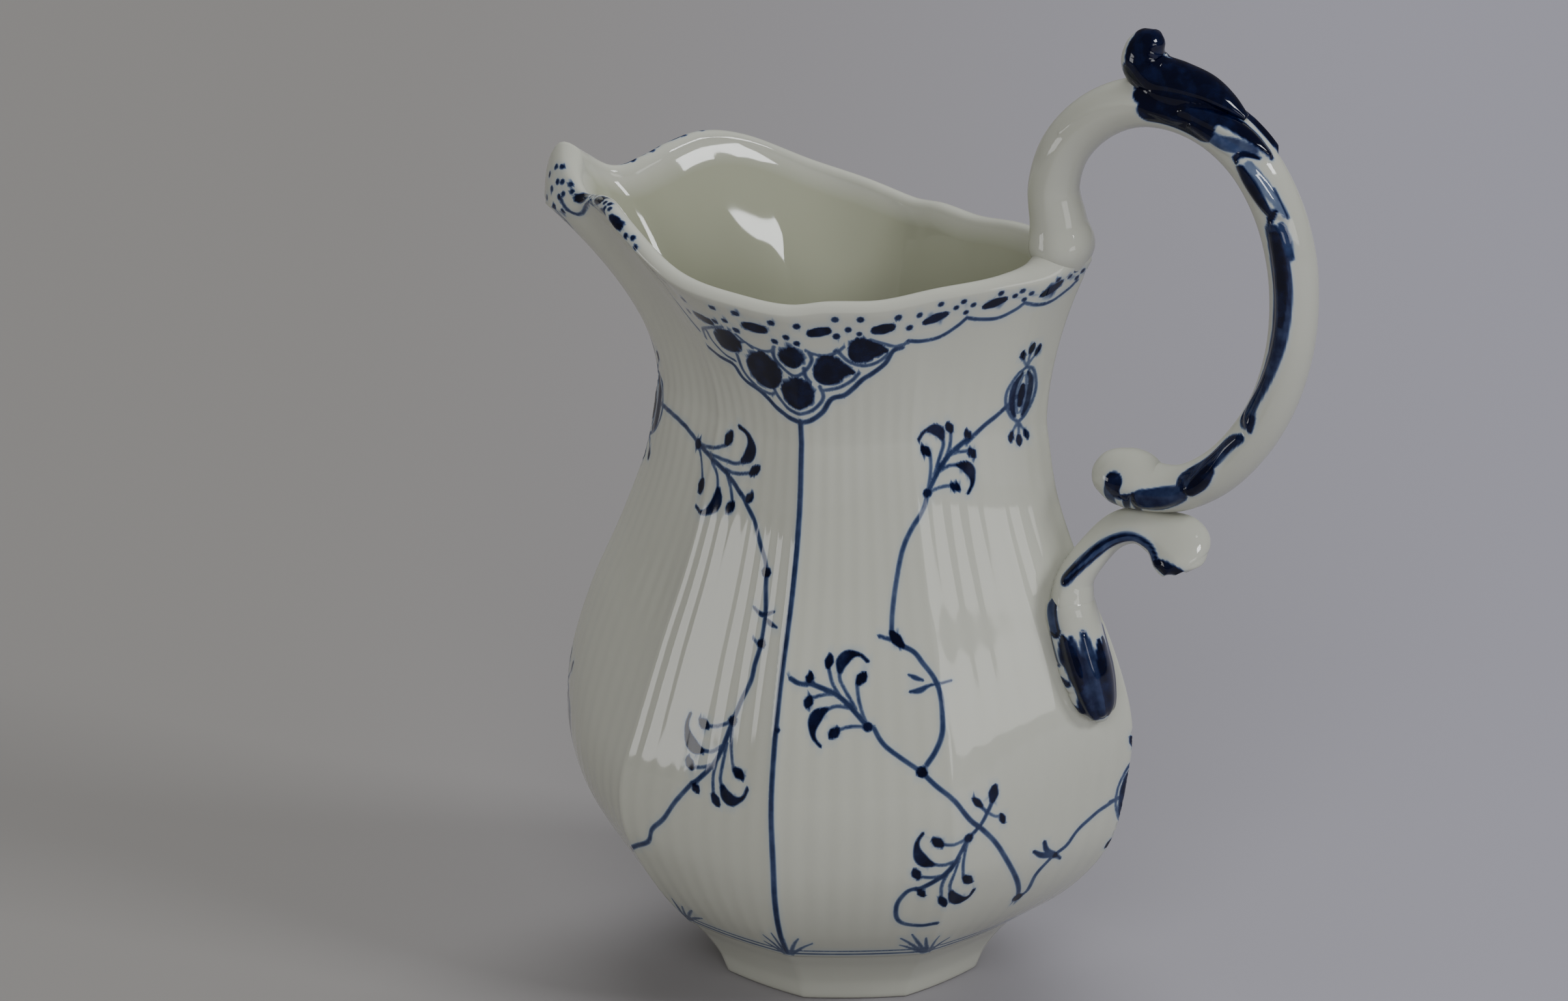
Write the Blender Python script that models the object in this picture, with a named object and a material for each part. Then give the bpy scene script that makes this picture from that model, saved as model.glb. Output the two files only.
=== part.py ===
"""Porcelain cream jug: an octagonal pear-shaped body with a pulled spout, its foot ring, and a scrolled handle.

Frame: +Z up, the origin on the standing surface, halfway between the spout's tip and the handle's back. The spout
points along -X and the handle along +X. The tables below count X from the jug's own upright axis.
"""
import math

import bmesh
import bpy
from mathutils import Vector

MM = 0.001                      # the tables below are in millimetres
GAP = 0.3                       # clearance between pieces that touch
AXIS_X = -11.9                  # where the jug's upright axis stands in the frame

# Body: radius of the octagon's corners at each height, toward +-X, toward the diagonals and toward +-Y.
CORNERS_X = [(9, 26.2), (14, 33.5), (20, 39.5), (26, 43.2), (34, 45.2), (43, 44.7), (54, 41.4), (66, 36.3),
             (77, 32.4), (88, 30.6)]
CORNERS_DIAGONAL = [(9, 26.2), (14, 30.4), (20, 34.0), (26, 36.4), (34, 36.8), (43, 34.6), (54, 31.1), (66, 26.8),
                    (77, 23.6), (88, 21.4)]
CORNERS_Y = [(9, 26.2), (14, 30.3), (20, 33.2), (26, 34.4), (34, 34.2), (43, 32.4), (54, 29.4), (66, 25.4),
             (77, 22.6), (88, 21.4)]
FACET_SOFTNESS = 0.35           # 0 leaves the octagon's facets flat, 1 rounds them away
BODY_BOTTOM = 9.0 + GAP
NECK_HEIGHT = 88.0
FLARE_POWER = 1.8               # how late the neck flares out to the rim

# Rim: middle of the lip at each angle from the handle (0) to the spout (180).
RIM_RADIUS = [(0, 35.2), (20, 29.6), (40, 25.6), (60, 24.3), (80, 25.3), (100, 28.6), (120, 32.6), (140, 34.8),
              (160, 37.0), (180, 45.0)]
RIM_HEIGHT = [(0, 113.6), (20, 113.9), (40, 112.6), (60, 111.8), (80, 111.5), (100, 112.1), (120, 114.6),
              (140, 119.4), (160, 122.4), (180, 121.8)]
WALL = 2.8
FLOOR = 4.0
SPOUT_LIP = 3.4                 # extra thickness of the rolled lip at the spout's tip
SPOUT_LIP_SPREAD = 13.0         # degrees
HANDLE_PAD = 4.2                # extra thickness of the rim where the handle stands
HANDLE_PAD_SPREAD = 15.0        # degrees

# Foot ring: outer profile of the corners, and the recess under the jug.
FOOT_PROFILE = [(0.0, 20.3), (1.0, 20.6), (3.5, 21.7), (6.5, 23.8), (9.0, 26.0)]
FOOT_RECESS = 17.0

# Handle: each station holds x, z, half the thickness in the XZ plane, and half the width along Y.
LOOP_PATH = [(32.6, 114.1, 4.4, 4.8), (32.2, 118.5, 4.1, 4.5), (31.4, 125.0, 3.8, 4.2), (33.2, 131.0, 3.7, 4.2),
             (37.6, 136.0, 3.7, 4.2), (43.5, 138.9, 3.7, 4.2), (50.0, 139.0, 3.7, 4.2), (56.3, 136.6, 3.7, 4.2),
             (61.6, 132.0, 3.7, 4.2), (65.5, 125.4, 3.7, 4.2), (67.7, 118.0, 3.7, 4.2), (68.3, 110.5, 3.6, 4.2),
             (67.6, 103.0, 3.5, 4.1), (65.4, 95.5, 3.4, 4.0), (61.9, 89.2, 3.4, 4.0), (57.3, 84.0, 3.4, 4.0),
             (52.3, 80.9, 3.4, 4.0), (47.8, 80.2, 3.7, 4.2), (44.6, 81.0, 4.5, 4.6), (42.6, 81.2, 4.4, 4.5),
             (40.4, 81.2, 3.8, 3.8), (38.6, 81.0, 1.6, 1.8)]
SCROLL_PATH = [(53.9, 68.2, 1.6, 1.8), (52.8, 69.2, 3.2, 3.4), (50.8, 71.0, 4.0, 4.2), (48.4, 72.8, 3.2, 4.0),
               (45.4, 73.6, 2.6, 3.8), (42.6, 72.6, 2.6, 3.8), (40.9, 70.0, 2.6, 3.8), (40.1, 66.8, 2.6, 4.0)]
THUMB_PATH = [(58.6, 140.6, 0.7, 1.0), (55.6, 142.6, 1.2, 2.4), (51.4, 144.3, 1.4, 3.0), (47.0, 144.9, 1.7, 3.4),
              (43.2, 146.0, 2.2, 3.4), (42.7, 148.0, 2.0, 3.0), (44.4, 149.2, 1.5, 2.2), (46.0, 149.2, 0.8, 1.2)]
LEAF_TOP = 66.2
LEAF_TIP = 42.0
LEAF_HALF_ANGLE = 9.0          # degrees either side of the body's corner at its widest
LEAF_THICKNESS = 2.6

COLUMNS = 56                    # around the body and the foot
OUTER_ROWS = 22
INNER_ROWS = 15
LIP_STEPS = 4
TUBE_SIDES = 16
STEPS_PER_STATION = 2


def smooth(knots, place):
    """Value at a place on the smooth curve through (place, value) knots."""
    places = [knot[0] for knot in knots]
    values = [knot[1] for knot in knots]
    slopes = []
    for i in range(len(knots)):
        before = max(i - 1, 0)
        after = min(i + 1, len(knots) - 1)
        slopes.append((values[after] - values[before]) / (places[after] - places[before]))
    place = min(max(place, places[0]), places[-1])
    i = 0
    while i < len(knots) - 2 and place > places[i + 1]:
        i += 1
    span = places[i + 1] - places[i]
    t = (place - places[i]) / span
    return (values[i] * (1 + 2 * t) * (1 - t) ** 2 + slopes[i] * span * t * (1 - t) ** 2
            + values[i + 1] * t * t * (3 - 2 * t) + slopes[i + 1] * span * t * t * (t - 1))


def octagon(corners, angle):
    """Radius of a softened octagon at an angle, from its corner radii toward X, the diagonals and Y."""
    fold = angle % 180
    fold = min(fold, 180 - fold)
    if fold < 45:
        start, end, turn = corners[0], corners[1], fold
    else:
        start, end, turn = corners[1], corners[2], fold - 45
    into = math.radians(turn)
    left = math.radians(45) - into
    flat = start * end * math.sin(math.radians(45)) / (start * math.sin(into) + end * math.sin(left))
    rounded = start + (end - start) * (1 - math.cos(math.radians(4 * turn))) / 2
    return flat + FACET_SOFTNESS * (rounded - flat)


def from_handle(angle):
    """The angle measured from the handle, between 0 and 180 degrees, alike on both sides of the jug."""
    angle = angle % 360
    return min(angle, 360 - angle)


def bump(distance, spread):
    return math.exp(-(distance / spread) ** 2)


def lip_thickness(angle):
    turn = from_handle(angle)
    spout = SPOUT_LIP * bump(180 - turn, SPOUT_LIP_SPREAD)
    pad = HANDLE_PAD * bump(turn, HANDLE_PAD_SPREAD)
    return WALL + spout + pad


def rim(angle):
    """Middle radius and top height of the lip."""
    turn = from_handle(angle)
    inward = HANDLE_PAD / 2 * bump(turn, HANDLE_PAD_SPREAD)
    return smooth(RIM_RADIUS, turn) - inward, smooth(RIM_HEIGHT, turn)


def section(angle, height):
    """Outer radius of the body below the neck."""
    corners = [smooth(table, height) for table in (CORNERS_X, CORNERS_DIAGONAL, CORNERS_Y)]
    return octagon(corners, angle)


def flare(angle, share):
    """Outer radius and height on the flaring neck, from the neck (share 0) to the lip's outer edge (share 1)."""
    middle, top = rim(angle)
    thickness = lip_thickness(angle)
    edge_height = top - thickness / 2
    radius = section(angle, NECK_HEIGHT)
    radius += (middle + thickness / 2 - radius) * share ** FLARE_POWER
    return radius, NECK_HEIGHT + (edge_height - NECK_HEIGHT) * share


def outer_point(angle, share):
    """Radius and height on the outside: share 0 is the bottom, 0.7 the neck and 1 the lip."""
    if share < 0.7:
        height = BODY_BOTTOM + (NECK_HEIGHT - BODY_BOTTOM) * share / 0.7
        return section(angle, height), height
    return flare(angle, (share - 0.7) / 0.3)


def inner_point(angle, share):
    """Radius and height on the inside, sharing the lip with the outside and stopping at the floor."""
    radius, height = outer_point(angle, share)
    thickening = max(0.0, (share - 0.8) / 0.2) ** 2
    thickness = WALL + (lip_thickness(angle) - WALL) * thickening
    floor = BODY_BOTTOM + FLOOR
    lift = max(0.0, 1 - share / 0.7)
    return radius - thickness, height + (floor - BODY_BOTTOM) * lift


def ring_of_points(place):
    """One ring of vertices from a function of the angle that gives radius and height."""
    points = []
    for column in range(COLUMNS):
        angle = 360 * column / COLUMNS
        radius, height = place(angle)
        turn = math.radians(angle)
        points.append(Vector((radius * math.cos(turn), radius * math.sin(turn), height)))
    return points


def lip_point(angle, turn):
    """On the half-round lip: turn 0 is its outer edge and pi its inner edge."""
    middle, top = rim(angle)
    half = lip_thickness(angle) / 2
    return middle + half * math.cos(turn), top - half + half * math.sin(turn)


def new_object(name, rings, closed_loop=False):
    """One closed body from rings of vertices: capped at both ends, or joined into a ring."""
    mesh = bpy.data.meshes.new(name)
    work = bmesh.new()
    axis = Vector((AXIS_X, 0, 0))
    made = [[work.verts.new((axis + point) * MM) for point in ring] for ring in rings]
    pairs = list(zip(made, made[1:]))
    if closed_loop:
        pairs.append((made[-1], made[0]))
    for lower, upper in pairs:
        count = len(lower)
        for i in range(count):
            j = (i + 1) % count
            work.faces.new((lower[i], lower[j], upper[j], upper[i]))
    if not closed_loop:
        work.faces.new(list(reversed(made[0])))
        work.faces.new(made[-1])
    bmesh.ops.recalc_face_normals(work, faces=work.faces)
    bmesh.ops.triangulate(work, faces=work.faces)
    work.to_mesh(mesh)
    work.free()
    mesh.shade_smooth()
    mesh.set_sharp_from_angle(angle=math.radians(40))
    thing = bpy.data.objects.new(name, mesh)
    bpy.context.collection.objects.link(thing)
    return thing


def paint(thing, colour, roughness):
    material = bpy.data.materials.new(thing.name)
    material.use_nodes = True
    shader = material.node_tree.nodes["Principled BSDF"]
    shader.inputs["Base Color"].default_value = (*colour, 1.0)
    shader.inputs["Roughness"].default_value = roughness
    shader.inputs["Metallic"].default_value = 0.0
    thing.data.materials.append(material)


def make_body():
    """The open vessel: up the outside, over the lip and down the inside to the floor."""
    rings = []
    for row in range(OUTER_ROWS):
        share = row / OUTER_ROWS
        rings.append(ring_of_points(lambda angle, s=share: outer_point(angle, s)))
    for step in range(LIP_STEPS + 1):
        turn = math.pi * step / LIP_STEPS
        rings.append(ring_of_points(lambda angle, t=turn: lip_point(angle, t)))
    for row in range(INNER_ROWS - 1, -1, -1):
        share = row / INNER_ROWS
        rings.append(ring_of_points(lambda angle, s=share: inner_point(angle, s)))
    return new_object("body", rings)


def make_foot_ring():
    """The flared octagonal foot, open underneath."""
    rings = []
    for height, radius in FOOT_PROFILE:
        rings.append(ring_of_points(lambda angle, h=height, r=radius: (octagon([r, r, r], angle), h)))
    top = FOOT_PROFILE[-1][0]
    rings.append(ring_of_points(lambda angle: (FOOT_RECESS, top)))
    rings.append(ring_of_points(lambda angle: (FOOT_RECESS, 0.0)))
    return new_object("foot_ring", rings, closed_loop=True)


def make_sweep(name, path):
    """An oval rod along a path in the XZ plane."""
    stations = range(len(path))
    curves = [[(i, path[i][field]) for i in stations] for field in range(4)]
    count = (len(path) - 1) * STEPS_PER_STATION
    middles = []
    for step in range(count + 1):
        place = step / STEPS_PER_STATION
        middles.append([smooth(curve, place) for curve in curves])
    rings = []
    for i, (x, z, thick, wide) in enumerate(middles):
        before = middles[max(i - 1, 0)]
        after = middles[min(i + 1, count)]
        along = Vector((after[0] - before[0], 0, after[1] - before[1])).normalized()
        across = Vector((along.z, 0, -along.x))
        ring = []
        for side in range(TUBE_SIDES):
            turn = math.tau * side / TUBE_SIDES
            offset = across * thick * math.cos(turn) + Vector((0, 1, 0)) * wide * math.sin(turn)
            ring.append(Vector((x, 0, z)) + offset)
        rings.append(ring)
    return new_object(name, rings)


def make_lower_leaf():
    """The moulded leaf that lies on the body's corner under the scroll."""
    rows = 12
    columns = 8
    rings = []
    for row in range(rows + 1):
        along = row / rows
        height = LEAF_TIP + (LEAF_TOP - LEAF_TIP) * along
        spread = LEAF_HALF_ANGLE * (0.12 + 0.88 * math.sin(math.pi * min(along * 1.15, 0.62)) ** 0.8)
        thickness = LEAF_THICKNESS * (0.35 + 0.65 * math.sin(math.pi / 2 * along))
        inner = []
        outer = []
        for column in range(columns + 1):
            across = 2 * column / columns - 1
            turn = math.radians(across * spread)
            radius = section(math.degrees(turn), height) + GAP
            crown = 0.3 + 0.7 * math.sqrt(max(0.0, 1 - across * across))
            for edge, extra in ((inner, 0.0), (outer, thickness * crown)):
                reach = radius + extra
                edge.append(Vector((reach * math.cos(turn), reach * math.sin(turn), height)))
        rings.append(inner + list(reversed(outer)))
    return new_object("lower_leaf", rings)


def main():
    for thing in list(bpy.data.objects):
        bpy.data.objects.remove(thing, do_unlink=True)
    porcelain = (0.60, 0.60, 0.54)
    cobalt = (0.03, 0.05, 0.16)
    paint(make_body(), porcelain, 0.08)
    paint(make_foot_ring(), porcelain, 0.12)
    paint(make_sweep("handle_loop", LOOP_PATH), porcelain, 0.08)
    paint(make_sweep("handle_scroll", SCROLL_PATH), porcelain, 0.08)
    paint(make_sweep("thumb_rest", THUMB_PATH), cobalt, 0.08)
    paint(make_lower_leaf(), cobalt, 0.08)


main()
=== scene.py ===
"""Porcelain cream jug: the fluted, painted and glazed surfaces that stand for the frame's plain solids.

The jug's tables are in millimetres, with X counted from the jug's own upright axis and Z from the standing
surface. Angles are in degrees, and 0 is the handle's side. The painting is laid out on a canvas wrapped
round the body: x is the distance along the surface from the painted upright line, y is the height up to
the neck, and then NECK plus a share of FLARE_SPAN up to the lip's outer edge.
"""
import math

import bmesh
import bpy
import numpy as np
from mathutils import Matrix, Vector, geometry


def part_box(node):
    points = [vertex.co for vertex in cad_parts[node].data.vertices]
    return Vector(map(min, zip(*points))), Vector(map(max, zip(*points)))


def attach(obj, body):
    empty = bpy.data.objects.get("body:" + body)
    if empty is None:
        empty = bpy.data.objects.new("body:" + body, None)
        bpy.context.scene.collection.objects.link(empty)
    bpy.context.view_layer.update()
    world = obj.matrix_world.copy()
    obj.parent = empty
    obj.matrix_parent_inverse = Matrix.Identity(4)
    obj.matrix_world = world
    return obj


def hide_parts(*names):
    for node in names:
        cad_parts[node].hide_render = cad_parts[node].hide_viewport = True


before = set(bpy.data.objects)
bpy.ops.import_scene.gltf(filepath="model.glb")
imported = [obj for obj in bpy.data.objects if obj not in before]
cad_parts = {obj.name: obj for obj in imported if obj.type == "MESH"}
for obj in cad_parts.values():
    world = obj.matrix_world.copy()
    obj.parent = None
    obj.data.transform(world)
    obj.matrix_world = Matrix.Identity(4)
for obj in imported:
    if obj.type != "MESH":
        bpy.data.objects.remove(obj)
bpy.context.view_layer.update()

MM = 0.001
CAMERA_AZIMUTH = 20.0  # degrees round from -Y, toward the handle
CAMERA_ELEVATION = 19.7
AXIS_X = (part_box("foot_ring")[0][0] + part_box("foot_ring")[1][0]) / 2

# --------------------------------------------------------------------------------------------------
# The body's shape. The octagon's corners are tables of (height, distance from the axis).
CORNERS_X = [(9, 26.2), (14, 33.5), (20, 39.5), (26, 43.0), (34, 44.6), (43, 44.5), (54, 41.4),
             (66, 36.3), (77, 32.4), (88, 30.6)]
CORNERS_DIAGONAL = [(9, 26.2), (14, 30.4), (20, 34.0), (26, 36.4), (34, 36.8), (43, 34.6), (54, 31.1),
                    (66, 26.8), (77, 23.6), (88, 21.4)]
CORNERS_Y = [(9, 26.2), (14, 30.3), (20, 33.2), (26, 34.4), (34, 34.2), (43, 32.4), (54, 29.4),
             (66, 25.4), (77, 22.6), (88, 21.4)]
FACET = 45.0  # degrees from corner to corner
FACET_SOFTNESS = 0.35  # 0 keeps the facets flat, 1 rounds them fully
BODY_BOTTOM = 9.3
NECK = 88.0  # the corners end here, and the flare to the rim begins
FLARE_SPAN = 24.5
FLARE_POWER = 1.8  # how late the flare turns outward
TOP = NECK + FLARE_SPAN
LIP_SPAN = 4.0  # canvas height of the lip, from its outer edge to its crest
CREST = TOP + LIP_SPAN

# The rim's middle line and its height, from the handle (0) to the spout (180).
RIM_RADIUS = [(0, 35.9), (9, 33.4), (20, 29.6), (40, 25.6), (60, 24.3), (80, 25.3), (100, 28.6),
              (120, 32.6), (140, 35.0), (158, 36.4), (168, 38.8), (175, 43.6), (180, 45.3)]
RIM_HEIGHT = [(0, 117.6), (5, 117.0), (12, 114.9), (20, 113.9), (40, 112.9), (60, 111.6), (78, 111.7),
              (90, 111.3), (104, 112.6), (120, 114.8), (138, 119.4), (149, 120.8), (158, 120.1),
              (165, 118.8), (171, 118.0), (176, 120.8), (180, 123.0)]
WALL = 2.8
FLOOR = 4.0
SPOUT_LIP = 3.6  # how much thicker the lip is at the tip of the spout
SPOUT_LIP_SPREAD = 8.0  # degrees
SPOUT_ROLL = 5.2  # how much lower the rolled tip of the spout reaches
HANDLE_PAD = 4.2  # how much thicker the lip is where the handle springs from it
HANDLE_PAD_SPREAD = 15.0  # degrees

BELLY_LEAN = 1.0  # how far the belly stands over toward the spout
BELLY_HEIGHT = 30.0  # where it stands over most
BELLY_SPREAD = 10.0  # and how far above and below that it does
HANDLE_TURN = -8.5  # degrees round the axis by which the handle's lower end is set over
SINK = 1.0  # how deep the handle's lower end may reach into the body's wall

# Flutes on each of the eight facets, counted round from the handle.
FLUTES = [9, 8, 8, 9, 9, 8, 8, 9]
FLUTE_DEPTH = 0.07

# The body's mesh
COLUMNS_PER_FLUTE = 6
ROW_PITCH = 1.25
LIP_ROWS = 7  # from the lip's outer edge to its crest
LIP_STEPS = 6  # from the crest to the lip's inner edge
INNER_ROWS = 34
FLOOR_SHARES = (0.9, 0.7, 0.4)  # the floor's rings, as shares of its width
FLOOR_DISH = 1.2
INNER_NECK = 0.7  # the share of the inside's height where its flare begins
INNER_FLARE = 0.3  # and the share that the flare takes
INNER_LIP = 0.8  # where its wall begins to thicken to the lip's
INNER_LIP_SPAN = 0.2  # and the share that the thickening takes
CELL = 0.17  # the finest mesh, on the canvas
SEAM = 135.0  # the angle where the flat canvas is joined, at the back
SEAM_GAP = 0.3  # degrees beside the seam that the brushwork's points keep clear
CANVAS_SCALE = 0.66  # millimetres of canvas for a degree
ON_EDGE = 1e-3  # how close to the canvas's edge its vertices lie
MERGE = 1e-5  # closer points of the canvas become one
TINY = 1e-9  # keeps a division off zero


def smooth(knots, place):
    """Values at places on the smooth curve through (place, value) knots."""
    table = np.array(knots, float)
    spots, values = table[:, 0], table[:, 1]
    last = len(spots) - 1
    before = np.maximum(np.arange(last + 1) - 1, 0)
    after = np.minimum(np.arange(last + 1) + 1, last)
    slopes = (values[after] - values[before]) / (spots[after] - spots[before])
    place = np.clip(place, spots[0], spots[-1])
    i = np.clip(np.searchsorted(spots, place, side="right") - 1, 0, last - 1)
    span = spots[i + 1] - spots[i]
    t = (place - spots[i]) / span
    return (values[i] * (1 + 2 * t) * (1 - t) ** 2 + slopes[i] * span * t * (1 - t) ** 2
            + values[i + 1] * t * t * (3 - 2 * t) + slopes[i + 1] * span * t * t * (t - 1))


def step(low, high, value):
    """0 below low, 1 above high, smooth between."""
    t = np.clip((value - low) / (high - low), 0.0, 1.0)
    return t * t * (3 - 2 * t)


def from_handle(angle):
    """Degrees from the handle, 0 to 180, whichever way round."""
    turn = np.mod(angle, 360.0)
    return np.minimum(turn, 360.0 - turn)


def hump(offset, spread):
    """1 at offset 0, fading to 0 on both sides."""
    return np.exp(-(offset / spread) ** 2)


def lip_thickness(angle):
    turn = from_handle(angle)
    spout = SPOUT_LIP * hump(180 - turn, SPOUT_LIP_SPREAD)
    pad = HANDLE_PAD * hump(turn, HANDLE_PAD_SPREAD)
    return WALL + spout + pad


def lip_drop(angle):
    """Height of the lip's outer half, from its outer edge to its crest."""
    return lip_thickness(angle) / 2 + SPOUT_ROLL * hump(180 - from_handle(angle), SPOUT_LIP_SPREAD)


def rim(angle):
    """Radius and height of the lip's middle line."""
    turn = from_handle(angle)
    inward = HANDLE_PAD / 2 * hump(turn, HANDLE_PAD_SPREAD)
    return smooth(RIM_RADIUS, turn) - inward, smooth(RIM_HEIGHT, turn)


def corner_radii(height):
    return smooth(CORNERS_X, height), smooth(CORNERS_DIAGONAL, height), smooth(CORNERS_Y, height)


def facet_number(angle):
    return np.floor(np.mod(angle, 360.0) / FACET).astype(int) % 8


def section(angle, height):
    """Radius of the softened octagon, and how far along its facet each point is (0 to 1)."""
    toward_x, diagonal, toward_y = corner_radii(height)
    fold = np.mod(angle, 180.0)
    folded = np.minimum(fold, 180.0 - fold)
    first = folded < FACET
    start = np.where(first, toward_x, diagonal)
    end = np.where(first, diagonal, toward_y)
    turn = np.where(first, folded, folded - FACET)
    into = np.radians(turn)
    left = np.radians(FACET) - into
    reach = start * np.sin(into) + end * np.sin(left)
    flat = start * end * np.sin(np.radians(FACET)) / reach
    rounded = start + (end - start) * (1 - np.cos(np.radians(4 * turn))) / 2
    share = start * np.sin(into) / reach
    backward = facet_number(angle) % 4 >= 2
    return flat + FACET_SOFTNESS * (rounded - flat), np.where(backward, 1 - share, share)


def flute_dip(angle, share, height):
    """Depth of the grooves between the ribs, fading out under the rim's border and above the foot."""
    count = np.array(FLUTES)[facet_number(angle)]
    wave = 0.5 - 0.5 * np.cos(math.tau * count * share)
    fade = step(BODY_BOTTOM + 0.8, BODY_BOTTOM + 4, height) * (1 - step(NECK + 5, NECK + 15, height))
    return FLUTE_DEPTH * wave * fade


def ring_point(radius, angle, height):
    """Points from their distance and angle round the jug's axis."""
    turn = np.radians(angle)
    return np.stack(np.broadcast_arrays(radius * np.cos(turn), radius * np.sin(turn), height), -1)


def body_surface(angle, canvas_y):
    """Outer surface at an angle and a canvas height, in millimetres."""
    angle, canvas_y = np.broadcast_arrays(np.asarray(angle, float), np.asarray(canvas_y, float))
    height = np.minimum(canvas_y, NECK)
    share = np.clip((canvas_y - NECK) / FLARE_SPAN, 0, 1)
    radius, along = section(angle, height)
    middle, top = rim(angle)
    thickness = lip_thickness(angle)
    radius = radius + (middle + thickness / 2 - radius) * share ** FLARE_POWER
    radius = radius - flute_dip(angle, along, canvas_y)
    radius = radius - BELLY_LEAN * np.cos(np.radians(angle)) * hump(height - BELLY_HEIGHT, BELLY_SPREAD)
    drop = lip_drop(angle)
    height = height + (top - drop - NECK) * share
    roll = np.clip((canvas_y - TOP) / LIP_SPAN, 0, 1) * math.pi / 2
    radius = radius - thickness / 2 * (1 - np.cos(roll))
    height = height + drop * np.sin(roll)
    return ring_point(radius, angle, height)


def surface_normals(angle, canvas_y):
    """Outward normals of the body's outer surface."""
    small_angle = 0.15
    small_rise = 0.1
    across = body_surface(angle + small_angle, canvas_y) - body_surface(angle - small_angle, canvas_y)
    low = np.maximum(canvas_y - small_rise, BODY_BOTTOM)
    high = np.minimum(canvas_y + small_rise, CREST)
    upward = body_surface(angle, high) - body_surface(angle, low)
    normal = np.cross(across, upward)
    return normal / np.linalg.norm(normal, axis=-1, keepdims=True)


# --------------------------------------------------------------------------------------------------
# The painter's canvas: distances round the body from the painted line at -Y
def girth_table():
    """The distance from the painted line at each angle and canvas height, a little past half the girth."""
    angles = np.linspace(-200, 20, 441)
    heights = np.linspace(BODY_BOTTOM, TOP, 208)
    points = body_surface(angles[None, :], heights[:, None])
    steps = np.hypot(np.diff(points[..., 0], axis=1), np.diff(points[..., 1], axis=1))
    length = np.concatenate([np.zeros((len(heights), 1)), np.cumsum(steps, 1)], 1)
    painted = int(np.argmin(abs(angles + 90)))
    return angles, heights, length - length[:, painted:painted + 1]


GIRTH_ANGLES, GIRTH_HEIGHTS, GIRTH = girth_table()


def canvas_angle(x, y):
    """The angle of a canvas point."""
    row = np.interp(y, GIRTH_HEIGHTS, np.arange(len(GIRTH_HEIGHTS)))
    low = int(math.floor(row))
    high = min(low + 1, len(GIRTH_HEIGHTS) - 1)
    girth = GIRTH[low] + (GIRTH[high] - GIRTH[low]) * (row - low)
    return float(np.interp(x, girth, GIRTH_ANGLES))


def curve_through(points, pitch):
    """A smooth line through (x, y, radius) points, with a point about every pitch."""
    points = np.array(points, float)
    if len(points) == 2:
        count = max(2, int(np.linalg.norm(points[1, :2] - points[0, :2]) / pitch) + 1)
        t = np.linspace(0, 1, count)[:, None]
        return points[0] * (1 - t) + points[1] * t
    padded = np.vstack([2 * points[0] - points[1], points, 2 * points[-1] - points[-2]])
    padded[0, 2:] = points[0, 2:]
    padded[-1, 2:] = points[-1, 2:]
    out = []
    for i in range(1, len(padded) - 2):
        a, b, c, d = padded[i - 1:i + 3]
        count = max(1, int(np.linalg.norm(c[:2] - b[:2]) / pitch))
        for t in np.arange(count) / count:
            out.append(0.5 * (2 * b + (c - a) * t + (2 * a - 5 * b + 4 * c - d) * t ** 2
                              + (3 * b - a - 3 * c + d) * t ** 3))
    out.append(padded[-2])
    return np.array(out)


# Strokes, each as (x, y, radius) rows with a tone, where 1 is the darkest cobalt.
CANVAS = []  # on the front, repeated at the back
ONCE = []  # under the spout and the handle, painted once


def line(points, radius=0.33, tone=0.66, canvas=CANVAS):
    """A thin line of even width."""
    canvas.append(([(x, y, radius) for x, y in points], tone))


def brush(points, tone=1.0, canvas=CANVAS):
    """A stroke whose points carry their own radius."""
    canvas.append((list(points), tone))


def dot(x, y, radius, tone=1.0, canvas=CANVAS):
    """A round touch of the brush."""
    canvas.append(([(x - 0.01, y, radius), (x + 0.01, y, radius)], tone))


def bud(base, tip, radius, tone=1.0, canvas=CANVAS):
    """A drop-shaped bud."""
    middle = ((base[0] + tip[0]) / 2, (base[1] + tip[1]) / 2)
    brush([(*base, radius * 0.6), (*middle, radius), (*tip, radius * 0.6)], tone, canvas)


# One sprig, drawn with its node at the origin and its stem along +X: branches, buds as (base, tip, radius),
# and two hooked leaves.
SPRIG_STEM = [(0, 0), (4.3, 1.0), (7.9, 1.4), (12.1, 0.6), (13.6, 0)]
SPRIG_BRANCHES = [
    [(0, 0), (2.4, 1.5), (4.3, 3.0), (5.9, 4.7)],
    [(3.6, 1.3), (7.2, 2.9), (9.0, 3.8), (10.0, 5.0)],
    [(6.8, 1.4), (9.6, 2.5), (11.8, 4.2)],
    [(0, 0), (1.4, -0.8), (2.9, -1.9), (4.1, -3.2)],
    [(4.5, 0.9), (6.7, -0.1), (8.0, -1.8)],
    [(7.9, 1.5), (9.8, 0.2), (11.4, -1.6)],
]
SPRIG_BUDS = [((5.9, 5.2), (5.9, 6.8), 0.85), ((12.1, 4.4), (12.8, 6.0), 0.72),
              ((13.4, 0.5), (13.8, 1.7), 0.68), ((4.2, -3.3), (4.5, -4.8), 0.85),
              ((11.5, -1.6), (11.1, -3.0), 0.78)]
SPRIG_HOOKS = [
    [(9.9, 5.0, 0.5), (10.5, 6.3, 0.95), (10.3, 7.7, 0.9), (9.4, 8.6, 0.45), (8.4, 9.0, 0.28),
     (6.8, 8.8, 0.3)],
    [(8.0, -1.7, 0.45), (8.6, -3.0, 0.95), (8.5, -4.4, 0.95), (7.7, -5.9, 0.5), (6.6, -6.8, 0.28),
     (5.0, -7.2, 0.22)],
]
SPRIG_LENGTH = SPRIG_STEM[-1][0]


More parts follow.
